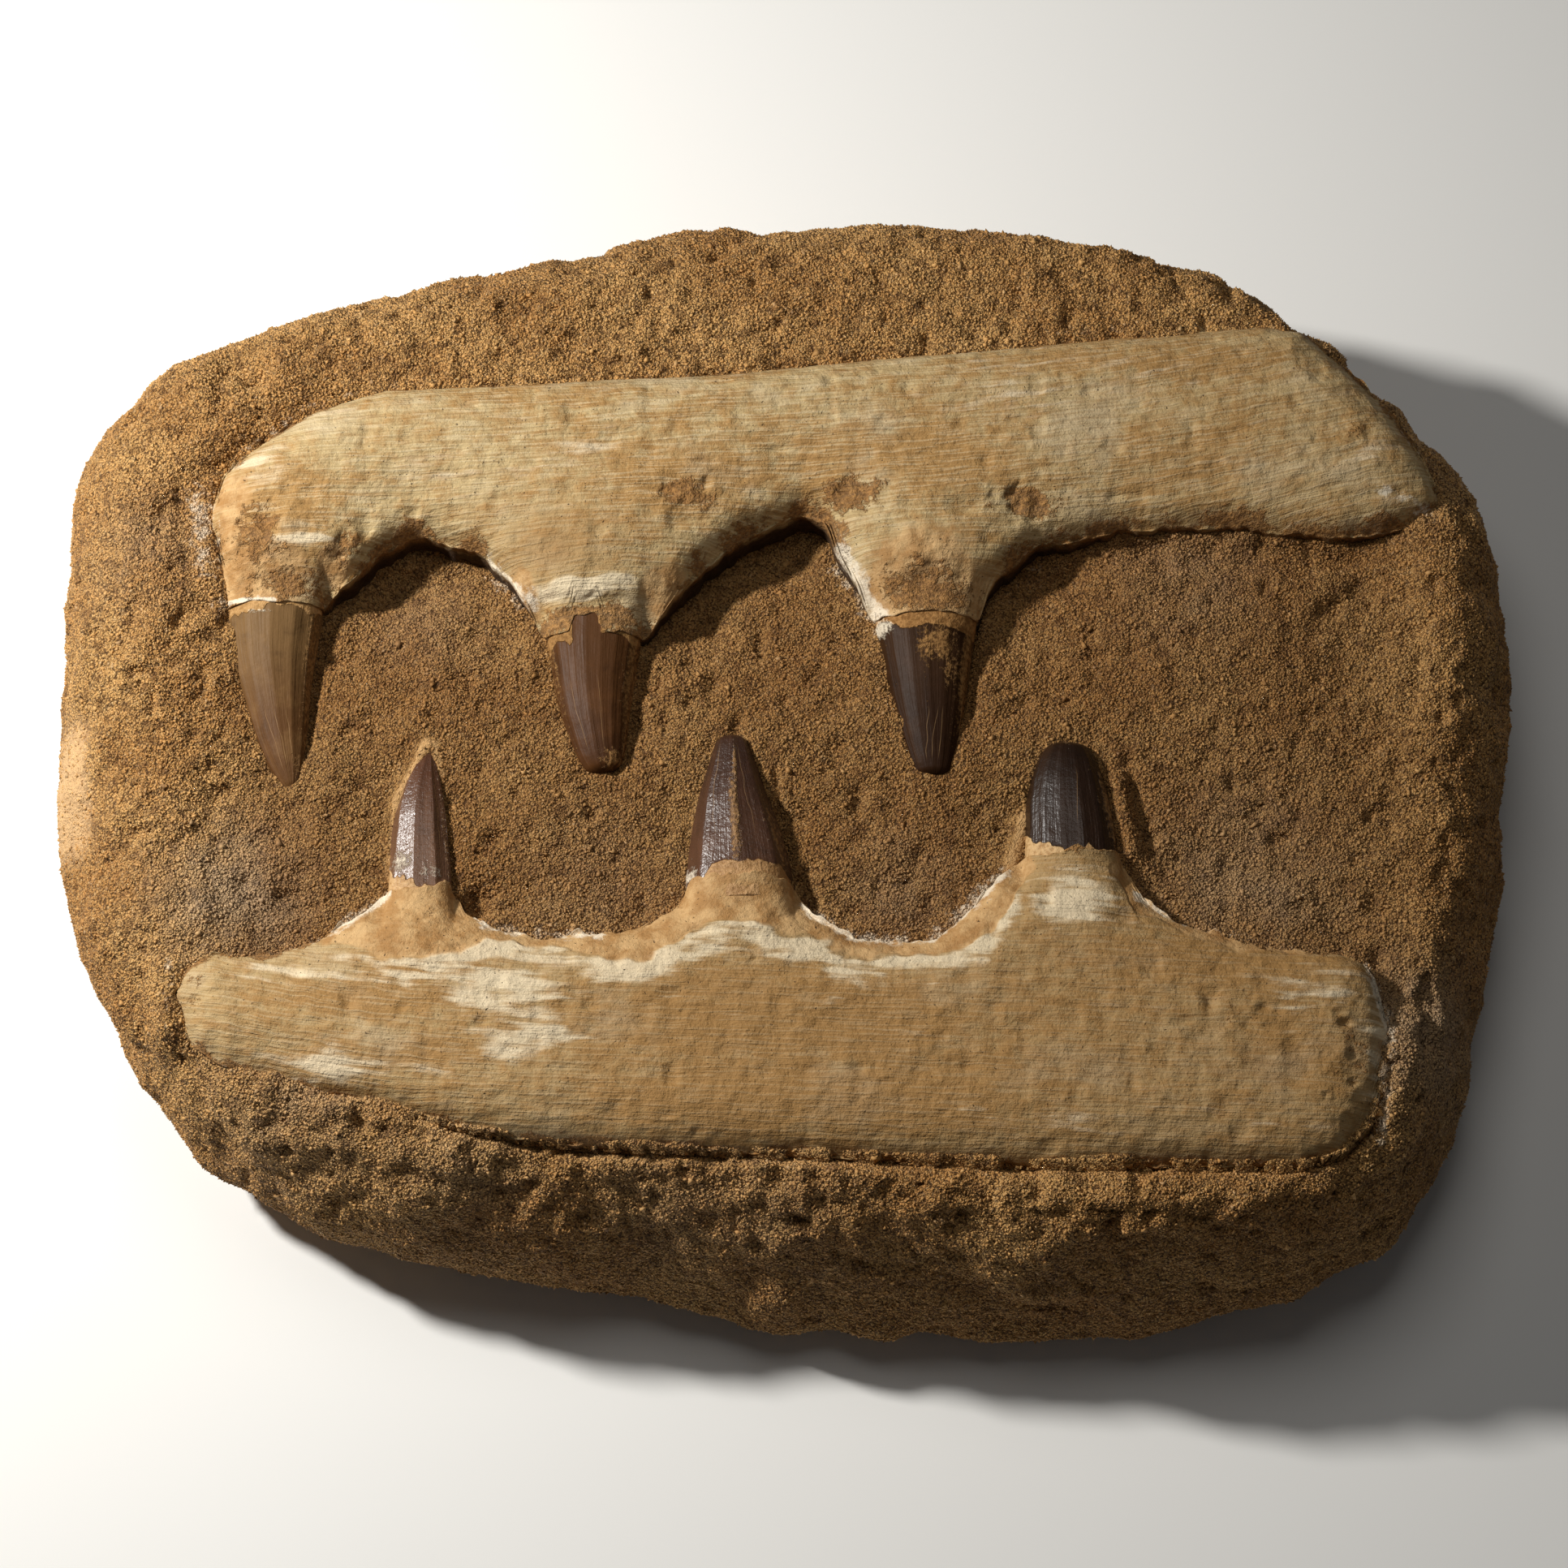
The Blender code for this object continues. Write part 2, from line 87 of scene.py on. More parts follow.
# Steps between which the relief fades, and how much of it is left far down the side
RELIEF_END = (2.55, 2.95)
LOW_RELIEF = 0.35

# Upper face of the stone, and the stretches over which it changes
BACK_HEIGHT = 47.5
FRONT_HEIGHT = 44.5
FLOOR_DEPTH = 4.0
HOLLOW_DEPTH = 8.5
SHALLOW_DEPTH = 5.0
TILT_SPAN = (-80.0, 70.0)
FRONT_WALL = (-60.0, -44.0)
BACK_WALL = (38.0, 58.0)
LEFT_WALL = (-110.0, -80.0)
RIGHT_WALL = (98.0, 124.0)
SHALLOW_SPAN = (35.0, 65.0)
DEEPENING_SPAN = (-8.0, 34.0)
LUMPS = ((19.0, 0.8, 2.0), (8.5, 0.6, 1.5))

# Jaw bones: the back and front edges of each face, left to right
UPPER_JAW = {
    "back": ((-97, 38), (-96, 43), (-90, 49), (-80, 56), (-68, 60), (-45, 61), (-10, 63), (28, 67),
             (60, 70), (84, 72), (91, 71), (98, 64), (106, 55), (111, 46), (113, 40)),
    "front": ((-97, 34), (-96, 27), (-94.8, 20.4), (-78, 20.4), (-74, 24.5), (-68, 30), (-62, 33),
              (-57, 32), (-51, 30), (-46, 25), (-42, 19), (-40, 14.9), (-23.2, 14.9), (-17.5, 22),
              (-11, 29), (-4, 34), (4, 37.5), (8, 36), (9.5, 31), (12, 27), (16, 18.4), (34.2, 18.4),
              (36, 24), (44, 31), (59, 34.5), (76, 35), (95, 33), (104, 34), (113, 37)),
    "edge_height": 47.6, "rise": 4.2, "back_slope": 9.0, "front_slope": 18.0,
    "root_line": 33.0, "root_drop": 1.8, "root_length": 18.0, "underside": 36.0,
}
LOWER_JAW = {
    "back": ((-99.5, -47), (-98, -44), (-94, -42), (-84, -42), (-76, -39), (-70, -35), (-65.6, -30.4),
             (-54.2, -30.4), (-52, -34.5), (-48, -37), (-40, -39), (-29, -38), (-22, -37),
             (-16.5, -33), (-15.4, -28.9), (2, -28.9), (5, -35), (12, -39), (20, -40), (26, -39),
             (32, -34), (37, -27), (40.8, -24.4), (57.2, -24.4), (61, -33), (66, -36), (74, -39),
             (83, -41), (92, -41.5), (96, -43), (99, -47), (100, -54)),
    "front": ((-99.5, -51), (-97, -57), (-91, -61), (-84, -63), (-75, -66), (-66, -67.5), (-58, -70),
              (-50, -72), (-40, -73.5), (-22, -75), (-4, -75.5), (25, -77), (49, -78), (67, -77.5),
              (85, -78), (92, -76), (97, -71), (99, -63), (100, -57)),
    "edge_height": 45.4, "rise": 3.4, "back_slope": 12.0, "front_slope": 10.0,
    "root_line": -39.0, "root_drop": 0.4, "root_length": 14.0, "underside": 37.5,
}
EDGE_ROLL = 2.6
EDGE_DROP = 1.1
CORNER_REACH = 0.8
CORNER_SAMPLES = 5
EDGE_SAMPLES = 400

# Crowns: points along the middle of each, from the root to the tip, as x, y, height and half the width
CROWNS = {
    "upper_tooth_1": ((-86.4, 20, 40.6, 8.1), (-86.4, 17, 40.6, 7.8), (-86.2, 11, 40.7, 6.9),
                      (-85.3, 4, 40.9, 5.5), (-84.4, -2, 41.2, 4.4), (-83.4, -7, 41.4, 3.1),
                      (-82.5, -10.5, 41.6, 1.7), (-82, -12.3, 41.7, 0.5)),
    "upper_tooth_2": ((-31.6, 14.5, 40.6, 7.9), (-31.6, 11.5, 40.6, 7.4), (-31.5, 6, 40.8, 6.6),
                      (-31.1, 1, 41.1, 5.7), (-30.4, -4, 41.4, 4.6), (-29.8, -7.5, 41.6, 3.5),
                      (-29.4, -9.4, 41.7, 1.9)),
    "upper_tooth_3": ((25.1, 18, 40.4, 8.6), (25.1, 15, 40.4, 8), (25.2, 9, 40.6, 7), (25.4, 3, 40.9, 6),
                      (25.7, -3, 41.3, 4.8), (25.9, -7.5, 41.6, 3.6), (26, -10.2, 41.8, 2.4)),
    "lower_tooth_1": ((-59.9, -30, 41.6, 5.3), (-59.9, -27, 41.6, 5.2), (-60.1, -22, 41.7, 4.8),
                      (-60.2, -16, 41.8, 4.2), (-59.9, -11, 41.9, 3), (-59.4, -7, 42, 1.5),
                      (-59.1, -5, 42, 0.6)),
    "lower_tooth_2": ((-6.7, -28.5, 41.4, 8.6), (-6.8, -26, 41.4, 8.4), (-7.3, -20, 41.5, 7.3),
                      (-7.8, -14, 41.7, 5.8), (-7.9, -8, 41.9, 4), (-8, -4, 42, 2.8), (-8, -2, 42, 1.8)),
    "lower_tooth_3": ((49, -24, 41.4, 7.8), (49, -21, 41.4, 7.7), (48.6, -15, 41.5, 7.1),
                      (48.5, -10, 41.7, 6.1), (48.6, -6, 41.9, 4.6), (48.7, -3.4, 42, 2.6)),
}
CROWN_FLATNESS = 0.7
ROOT_OVERLAP = 4.5
CUFF = 0.3

# Places on the stone, as x and y of both ends, half the width and the depth (a ridge is negative)
GROOVES = (
    (33.6, 22, 32, 2, 1.1, 2.6), (-78, 16, -80, -6, 0.9, 1), (-22.6, 12, -25.6, -6, 0.9, 1.1),
    (1.6, -27, -0.6, -9, 0.8, 1), (58.6, -7, 62, -23, 0.9, 1.6), (56.6, -10, 59.2, -23, 1.5, -1.3),
    (-50.6, -30.5, -50, -33, 1.7, 2.6), (3.6, -28, 5.4, -32, 1.1, 1.8), (-64.6, -15, -59.4, -4.2, 0.8, -1),
    (-58.2, -4.5, -56.8, -10, 0.7, -0.8), (41, -17, 38.5, -25, 1.2, -1),
)
# Chips broken out of the rim, as x and y of both ends, half the width and the depth (a bulge is negative)
CHIPS = (
    (-60, -81.5, -36, -84.5, 7, -2.8), (-95.5, 65.5, -91.5, 63, 2.2, 5), (-97.5, 60, -96, 57, 1.6, 1.6),
    (100, 66, 103, 60, 1.4, 1.6),
)
# Hollows cut deeper under the arches of the upper jaw, as x, y, reach along x and y, and depth
HOLLOWS = (
    (-66, 25, 8, 5, 3.2), (-54, 29, 8, 4, 1.6), (-8, 30, 8, 5, 2.6), (1, 33.5, 6, 4.5, 3.2),
    (46, 27, 9, 3.5, 1.6), (68, 31, 18, 3, 1.6), (92, 30, 14, 2.6, 1.6), (-14, 20, 4, 7, 1.8),
)

# Stone raised to meet the jaws, as x and y of both ends, half the width and the height
RAISED = (
    (-98.6, 40, -97.6, 26, 3, 45.6), (-101, -45, -101, -54, 3, 44.6),
)

# White powder left by the tools, as x and y of both ends, half the width and the strength
POWDER = (
    (-100, 40, -98, 27, 3.2, 1), (-97, 24, -95.5, 18, 1.6, 0.6), (-50, 28.5, -42, 20.5, 1.7, 1),
    (10.5, 30, 17.6, 17.5, 2.3, 1.15), (-95, 21, -86, 20.4, 0.6, 1.3), (-79, 57.5, -60, 62, 1.5, 0.5),
    (-92, 49.5, -80, 57, 1.3, 0.8), (103, 40, 113, 36, 1.8, 0.7), (38, 30, 48, 30, 1.4, 0.4),
    (-73, -37, -65.5, -31, 1.8, 1.05), (-84, -41, -73, -37.5, 1.6, 0.75),
    (-52, -33.5, -48.5, -36.5, 0.9, 0.9), (-49, -36.8, -30, -38.5, 1.7, 1),
    (4.5, -33.5, 12, -38.2, 1.9, 0.95), (12, -38.2, 25, -39.2, 2.1, 1.05),
    (25, -39, 37.2, -27.5, 1.8, 1.15), (59.5, -32, 67, -36.3, 1.5, 1), (67, -36.3, 90, -41, 1, 0.8),
    (97.5, -43, 100.5, -56, 1.4, 1.1), (100.5, -56, 98, -74, 1.4, 1), (-100.5, -43, -101, -55, 1.5, 0.7),
    (-99, -57, -76, -67.5, 1.5, 0.45), (30, 68.5, 92, 73.5, 1, 0.5), (92, 72, 112, 45, 1.1, 0.5),
    (-33, -78, 40, -81, 2.2, 0.25),
)
# Grey dust over wide places, as x, y, reach and strength
DUST = (
    (78, -29, 15, 0.45), (108, -55, 12, 0.8), (-92, -31, 11, 0.95), (70, 27, 12, 0.3), (-108, 30, 9, 0.35),
    (-60, 18, 8, 0.25), (20, -30, 9, 0.35), (-30, -30, 12, 0.2), (0, -82, 14, 0.2), (110, 50, 12, 0.2),
    (-80, -66, 12, 0.5), (-52, -77, 11, 0.35), (-20, -80, 11, 0.25),
)
# Smooth ground or glued places without grains, as x and y of both ends, half the width and the strength
BARE = (
    (-64.4, -15, -59.6, -3.6, 1, 1), (-58.4, -3.8, -56.9, -9.5, 0.8, 0.9),
    (-65.5, -28, -64.8, -15, 0.8, 0.6), (41.5, -16, 38.5, -26, 1.3, 0.9),
    (-15.5, -24, -14.5, -12, 0.6, 0.4),
)
# Flat pale place on the left side: its middle as x and y, its reach along y, and how deep it goes in x
SAWN_PLACE = (-121.5, -9.0, 13.0)
SAWN_DEPTH = 6.0
SAWN_HEIGHTS = (8.0, 14.0, 36.0, 42.0)
# Spans along x, y and z over which the painted shade of the recessed floor carved between the jaws comes and
# goes
CARVED_X = (-100.0, -84.0, 96.0, 120.0)
CARVED_Y = (-58.0, -46.0, 36.0, 50.0)
CARVED_Z = (30.0, 36.0)
# Heights over which the powder begins, the chips begin, and the broken sides begin and end
POWDER_HEIGHTS = (33.0, 37.0)
CHIP_HEIGHTS = (8.0, 20.0)
SIDE_HEIGHTS = (4.0, 12.0, 38.0, 42.0)

LATTICE = np.random.default_rng(11).uniform(-1.0, 1.0, (32, 32, 32))


def ease(low, high, value):
    """Smooth step: 0 up to low, 1 from high on, level at both."""
    share = np.clip((value - low) / (high - low), 0.0, 1.0)
    return share * share * (3.0 - 2.0 * share)


def between(value, low, rise_end, fall_start, high):
    """0 outside low and high, 1 from rise_end to fall_start, with smooth steps between."""
    return ease(low, rise_end, value) * (1.0 - ease(fall_start, high, value))


def edge_fall(distance, reach):
    """1 at an edge, falling to 0 at the reach from it, level there."""
    return (1.0 - np.clip(distance / reach, 0.0, 1.0)) ** 2


def unit(vectors):
    """Rows of numbers, each made one long."""
    return vectors / np.maximum(np.linalg.norm(vectors, axis=1), TINY)[:, None]


def grid_places(low, columns, rows):
    """Places of a grid's points from low to 1 both ways, row by row."""
    across, back = np.meshgrid(np.linspace(low, 1, columns + 1), np.linspace(low, 1, rows + 1))
    return across.ravel(), back.ravel()


def face_corners(index, steps, count):
    """Share of the way along a grid of each face's four corners, from the face's index and the steps."""
    return (index[..., None] + np.array(steps)).reshape(-1, 4) / count


def smooth_loop(rows):
    """Closed Catmull-Rom curve through rows of numbers."""
    here = np.array(rows, dtype=float)
    before, after, beyond = (np.roll(here, shift, axis=0) for shift in (1, -1, -2))
    t = (np.arange(SPAN_POINTS) / SPAN_POINTS)[:, None, None]
    curve = here + 0.5 * t * (after - before)
    curve = curve + 0.5 * t**2 * (2 * before - 5 * here + 4 * after - beyond)
    curve = curve + 0.5 * t**3 * (3 * here - before - 3 * after + beyond)
    return curve.transpose(1, 0, 2).reshape(-1, here.shape[1])


def lumps(x, y, z, size):
    """Repeatable bumpy field from -1 to 1: random numbers on a lattice of the size given, joined smoothly."""
    cell = np.stack([np.asarray(c, dtype=float) / size for c in np.broadcast_arrays(x, y, z)])
    corner = np.floor(cell).astype(int)
    share = ease(0.0, 1.0, cell - corner)
    total = 0.0
    for step in np.ndindex(2, 2, 2):
        place = [(corner[axis] + step[axis]) % len(LATTICE) for axis in range(3)]
        weight = 1.0
        for axis in range(3):
            weight = weight * (share[axis] if step[axis] else 1.0 - share[axis])
        total = total + weight * LATTICE[place[0], place[1], place[2]]
    return total


def crumbly(x, y, z, size):
    """Sum of three bumpy fields, each half as large and half as high as the one before."""
    total = 0.0
    for layer in range(3):
        shift = 7.3 * layer
        total = total + lumps(x + shift, y - shift, z + 0.5 * shift, size / 2**layer) / 2**layer
    return total


def near_line(x, y, line, half_width):
    """1 on a straight line from one end to the other, falling to 0 as a bell of the width given."""
    x0, y0, x1, y1 = line
    length = (x1 - x0) ** 2 + (y1 - y0) ** 2
    share = np.clip(((x - x0) * (x1 - x0) + (y - y0) * (y1 - y0)) / length, 0.0, 1.0)
    away = (x - x0 - share * (x1 - x0)) ** 2 + (y - y0 - share * (y1 - y0)) ** 2
    return np.exp(-away / half_width**2)


def near_point(x, y, centre_x, centre_y, reach_x, reach_y):
    """1 at a point, falling to 0 as a bell with its own reach along x and y."""
    return np.exp(-(((x - centre_x) / reach_x) ** 2) - ((y - centre_y) / reach_y) ** 2)


def top_height(x, y):
    """Height of the stone's upper face, with the floor carved between the jaws."""
    plain = FRONT_HEIGHT + (BACK_HEIGHT - FRONT_HEIGHT) * ease(*TILT_SPAN, y)
    carved = between(y, *FRONT_WALL, *BACK_WALL) * between(x, *LEFT_WALL, *RIGHT_WALL)
    deepest = HOLLOW_DEPTH + (SHALLOW_DEPTH - HOLLOW_DEPTH) * ease(*SHALLOW_SPAN, x)
    depth = FLOOR_DEPTH + (deepest - FLOOR_DEPTH) * ease(*DEEPENING_SPAN, y)
    return plain - depth * carved


def block_point(step, angle):
    """Point on the block in a direction: step 0 is the middle of the top, 1 the start of the rim,
    2 the widest line and 3 the edge of the underside. Both curves of the side are superellipses."""
    loop = smooth_loop(BLOCK_OUTLINE)
    heading = np.arctan2(loop[:, 1], loop[:, 0])
    radius = np.interp(angle, heading, np.hypot(loop[:, 0], loop[:, 1]), period=2 * math.pi) - GRAIN_MARGIN
    edge = smooth_loop(BLOCK_EDGE)
    turns = np.linspace(0, 2 * math.pi, len(edge), endpoint=False)
    rim, widest, inset, fullness = (np.interp(angle, turns, row, period=2 * math.pi) for row in edge.T)
    upper = np.clip(step - 1.0, 0.0, 1.0) * math.pi / 2
    lower = np.clip(step - 2.0, 0.0, 1.0) * math.pi / 2
    outward = np.sin(upper) ** (2 / fullness)
    tuck = 1.0 - np.clip(np.cos(lower), 0.0, 1.0) ** (2 / UNDERSIDE_FULLNESS)
    reach = (radius - rim) * np.minimum(step, 1.0) + rim * outward - inset * tuck
    x = reach * np.cos(angle)
    y = reach * np.sin(angle)
    fall = np.clip(np.cos(upper), 0.0, 1.0) ** (2 / fullness)
    sink = 1.0 - np.sin(lower) ** (2 / UNDERSIDE_FULLNESS)
    z = (widest + (top_height(x, y) - widest) * fall) * sink
    side = 0.0
    rise = 0.0
    for size, top_lump, side_lump in LUMPS:
        bump = lumps(x, y, z, size) * np.cos(lower)
        side = side + bump * side_lump * np.sin(upper)
        rise = rise + bump * top_lump * np.cos(upper)
    return x + side * np.cos(angle), y + side * np.sin(angle), z + rise


def edge_line(points, x):
    """Depth of a jaw's edge at x: straight between the points, with its corners rounded."""
    xs, ys = np.array(points, dtype=float).T
    reach = np.linspace(-CORNER_REACH, CORNER_REACH, CORNER_SAMPLES)
    return np.mean([np.interp(x + offset, xs, ys) for offset in reach], axis=0)


def edge_samples(jaw, side):
    """Points along one edge of a jaw, evenly spaced in x."""
    along = np.linspace(jaw["back"][0][0], jaw["back"][-1][0], EDGE_SAMPLES)
    return np.stack([along, edge_line(jaw[side], along)], axis=1)


def distance_to(samples, x, y):
    """Distance from points to the nearest of a line's samples."""
    nearest = np.full(np.shape(x), np.inf)
    for sample_x, sample_y in samples:
        nearest = np.minimum(nearest, (x - sample_x) ** 2 + (y - sample_y) ** 2)
    return np.sqrt(nearest)


def bone_height(jaw, y, to_back, to_front):
    """Height of a jaw's face: crowned between its edges, falling over the roots, rolled at the edge."""
    crown = (1.0 - edge_fall(to_back, jaw["back_slope"])) * (1.0 - edge_fall(to_front, jaw["front_slope"]))
    toward_root = (jaw["root_line"] - y) if jaw is UPPER_JAW else (y - jaw["root_line"])
    drop = jaw["root_drop"] * ease(0.0, jaw["root_length"], toward_root)
    roll = EDGE_DROP * edge_fall(np.minimum(to_front, to_back), EDGE_ROLL)
    return jaw["edge_height"] + jaw["rise"] * crown - drop - roll


def slab_layout(columns, rows, levels):
    """Faces of a grid whose border is carried down in level rows and closed by one face below.

    Grid point (i, j) is number j * (columns + 1) + i, with i to the right and j to the back. Side row k
    has the border's points anticlockwise. Returns the border's numbers, the square faces, the face
    below and the place of each face corner on the baking map: the grid above, three strips of side
    below it and the underside in the corner."""
    number = np.arange((columns + 1) * (rows + 1)).reshape(rows + 1, columns + 1)
    top = np.stack([number[:-1, :-1], number[:-1, 1:], number[1:, 1:], number[1:, :-1]], axis=-1)
    border = np.concatenate([number[0, :-1], number[:-1, -1], number[-1, :0:-1], number[:0:-1, 0]])
    around = len(border)
    first = number.size
    ring = np.concatenate([border[None], first + np.arange(levels * around).reshape(levels, around)])
    after = np.roll(ring, -1, axis=1)
    side = np.stack([ring[:-1], ring[1:], after[1:], after[:-1]], axis=-1).reshape(-1, 4)

    i, j = np.meshgrid(np.arange(columns), np.arange(rows))
    corner_i = face_corners(i, (0, 1, 1, 0), columns)
    corner_j = face_corners(j, (0, 0, 1, 1), rows)
    top_map = np.stack([0.005 + 0.99 * corner_i, 0.38 + 0.615 * corner_j], axis=-1)
    third = math.ceil(around / 3)
    b, k = np.meshgrid(np.arange(around), np.arange(levels))
    strip = b // third
    across = face_corners(b - strip * third, (0, 0, 1, 1), third)
    down = face_corners(k, (0, 1, 1, 0), levels)
    side_map = np.stack([0.22 + 0.77 * across, 0.36 - 0.12 * strip.reshape(-1, 1) - 0.11 * down], axis=-1)
    turn = np.linspace(0, 2 * math.pi, around, endpoint=False)
    below_map = np.stack([0.1 + 0.09 * np.cos(turn), 0.17 + 0.16 * np.sin(turn)], axis=-1)
    squares = np.concatenate([top.reshape(-1, 4), side])
    places = np.concatenate([top_map.reshape(-1, 2), side_map.reshape(-1, 2), below_map[::-1]])
    return border, squares, ring[-1][::-1], places


def tube_layout(around, along):
    """Faces of a tube of rings, closed by one face at each end, with their places on the baking map.

    Point a of ring b is number b * around + a, with a turning from the side over the top."""
    number = np.arange(around * along).reshape(along, around)
    after = np.roll(number, -1, axis=1)
    squares = np.stack([number[:-1], after[:-1], after[1:], number[1:]], axis=-1).reshape(-1, 4)
    a, b = np.meshgrid(np.arange(around), np.arange(along - 1))
    round_it, down_it = face_corners(a, (0, 1, 1, 0), around), face_corners(b, (0, 0, 1, 1), along - 1)
    side_map = np.stack([round_it, 0.06 + 0.88 * down_it], axis=-1).reshape(-1, 2)
    turn = np.linspace(0, 2 * math.pi, around, endpoint=False)
    end_map = 0.02 * np.stack([np.cos(turn), np.sin(turn)], axis=-1)
    ends = [end_map[::-1] + 0.03, end_map + np.array([0.03, 0.97])]
    return squares, number[0][::-1], number[-1], np.concatenate([side_map, *ends])


def point_normals(points, squares):
    """Normal at each point: the mean of the cross products of its faces' diagonals."""
    a, b, c, d = (points[squares[:, corner]] for corner in range(4))
    face = np.cross(c - a, d - b)
    total = np.zeros_like(points)
    for corner in range(4):
        for axis in range(3):
            total[:, axis] += np.bincount(squares[:, corner], face[:, axis], len(points))
    return unit(total)


def make_piece(name, points, groups, places, marks, material, nodes=(), smooth=True):
    """Mesh piece from points in millimetres, face groups and a baking map, with a number at each point
    for each mark. It rides on the root body and stands for the nodes given."""
    points = np.clip((points - np.array([*FOOTPRINT_MIDDLE, 0.0])) * MM, *CAD_BOX)
    mesh = bpy.data.meshes.new(name)
    sizes = np.concatenate([np.full(len(group), np.shape(group)[-1]) for group in groups])
    corners = np.concatenate([np.ravel(group) for group in groups])
    mesh.vertices.add(len(points))
    mesh.vertices.foreach_set("co", points.astype(np.float32).ravel())
    mesh.loops.add(len(corners))
    mesh.loops.foreach_set("vertex_index", corners.astype(np.int32))
    mesh.polygons.add(len(sizes))
    mesh.polygons.foreach_set("loop_start", (np.cumsum(sizes) - sizes).astype(np.int32))
    mesh.update(calc_edges=True)
    mesh.validate()
    mesh.uv_layers.new(name="OFBake").data.foreach_set("uv", places.astype(np.float32).ravel())
    for mark, values in marks.items():
        layer = mesh.attributes.new(mark, "FLOAT", "POINT")
        layer.data.foreach_set("value", np.broadcast_to(values, len(points)).astype(np.float32))
    if smooth:
        mesh.shade_smooth()
    mesh.materials.append(material)
    piece = bpy.data.objects.new(name, mesh)
    bpy.context.scene.collection.objects.link(piece)
    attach(piece, "root")
    if nodes:
        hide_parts(*nodes)


class Value:
    """A number or colour in a material. Sums written with it become Math nodes."""

    def __init__(self, finish, socket):
        self.finish = finish
        self.socket = socket

    def join(self, operation, *others):
        """This number joined with others by a Math node."""
        return self.finish.node("ShaderNodeMath", {"operation": operation}, dict(enumerate((self, *others))))

    def __add__(self, other):
        return self.join("ADD", other)

    def __sub__(self, other):
        return self.join("SUBTRACT", other)

    def __rsub__(self, other):
        return self.join("MULTIPLY_ADD", -1.0, other)

    def __mul__(self, other):
        return self.join("MULTIPLY", other)

    __radd__ = __add__
    __rmul__ = __mul__

    def clamp(self):
        """This number kept from 0 to 1."""
        return self.finish.node("ShaderNodeClamp", {}, {0: self})

    def rising(self, low, high):
        """0 up to low, 1 from high on, with a smooth rise between."""
        settings = {"interpolation_type": "SMOOTHSTEP"}
        return self.finish.node("ShaderNodeMapRange", settings, {0: self, 1: low, 2: high})


class Finish:
    """A material: its nodes come from one method, and what is the same all over is set on the shader."""

    def __init__(self, name, constants):
        self.material = bpy.data.materials.new(name)
        self.material.use_nodes = True
        self.tree = self.material.node_tree
        self.shader = self.tree.nodes["Principled BSDF"]
        for socket, value in constants.items():
            self.shader.inputs[socket].default_value = value

    def node(self, kind, settings, inputs, output=0):
        """Output of a new node of a kind, with its settings and inputs given."""
        made = self.tree.nodes.new(kind)
        for setting, value in settings.items():
            setattr(made, setting, value)
        for socket, value in inputs.items():
            self.feed(made.inputs[socket], value)
        return Value(self, made.outputs[output])

    def feed(self, socket, value):
        """Link a value into a socket, or set the socket to a plain number, vector or colour."""
        if isinstance(value, Value):
            self.tree.links.new(value.socket, socket)
        elif isinstance(value, tuple) and len(value) == 3 and len(socket.default_value) == 4:
            socket.default_value = (*value, 1.0)
        else:
            socket.default_value = value

    def place(self):
        """The point's place on the object, in millimetres."""
        point = self.node("ShaderNodeTexCoord", {}, {}, "Object")
        return self.scaled(point, (1 / MM, 1 / MM, 1 / MM))

    def scaled(self, vector, factors):
        """A vector times a factor for each axis."""
        return self.node("ShaderNodeVectorMath", {"operation": "MULTIPLY"}, {0: vector, 1: factors})

    def mark(self, name):
        """The number that the mesh holds under a name."""
        return self.node("ShaderNodeAttribute", {"attribute_name": name}, {}, "Fac")

    def noise(self, vector, size, detail=2.0, roughness=0.5):
        """Cloudy field from 0 to 1, with lumps of the size given."""
        inputs = {"Vector": vector, "Scale": 1 / size, "Detail": detail, "Roughness": roughness}
        return self.node("ShaderNodeTexNoise", {}, inputs)

    def cells(self, vector, size, output="Distance"):
        """Cells of the size given: the distance to each cell's middle or the cell's own colour."""
        return self.node("ShaderNodeTexVoronoi", {}, {"Vector": vector, "Scale": 1 / size}, output)

    def mix(self, share, first, second):
        """Colour that goes from the first to the second as share goes from 0 to 1."""
        return self.node("ShaderNodeMix", {"data_type": "RGBA"}, {0: share, 6: first, 7: second}, 2)

    def over(self, colour, *coats):
        """Colour under coats laid on in turn, each given as its share and its own colour."""
        for share, coat in coats:
            colour = self.mix(share, colour, coat)
        return colour

    def bump(self, height, depth):
        """Normal from a height of 0 to 1, with a depth in millimetres."""
        inputs = {"Strength": 1.0, "Distance": depth * MM, "Height": height}
        self.feed(self.shader.inputs["Normal"], self.node("ShaderNodeBump", {}, inputs))

    def paint(self, colour, roughness=None):
        """The finished material, with its colour and roughness set."""
        self.feed(self.shader.inputs["Base Color"], colour)
        if roughness is not None:
            self.feed(self.shader.inputs["Roughness"], roughness)
        return self.material


def tint(red, green, blue):
    """Linear colour from red, green and blue on a scale of 0 to 255 as a screen shows them."""
    return tuple(((c / 255 + 0.055) / 1.055) ** 2.4 for c in (red, green, blue))


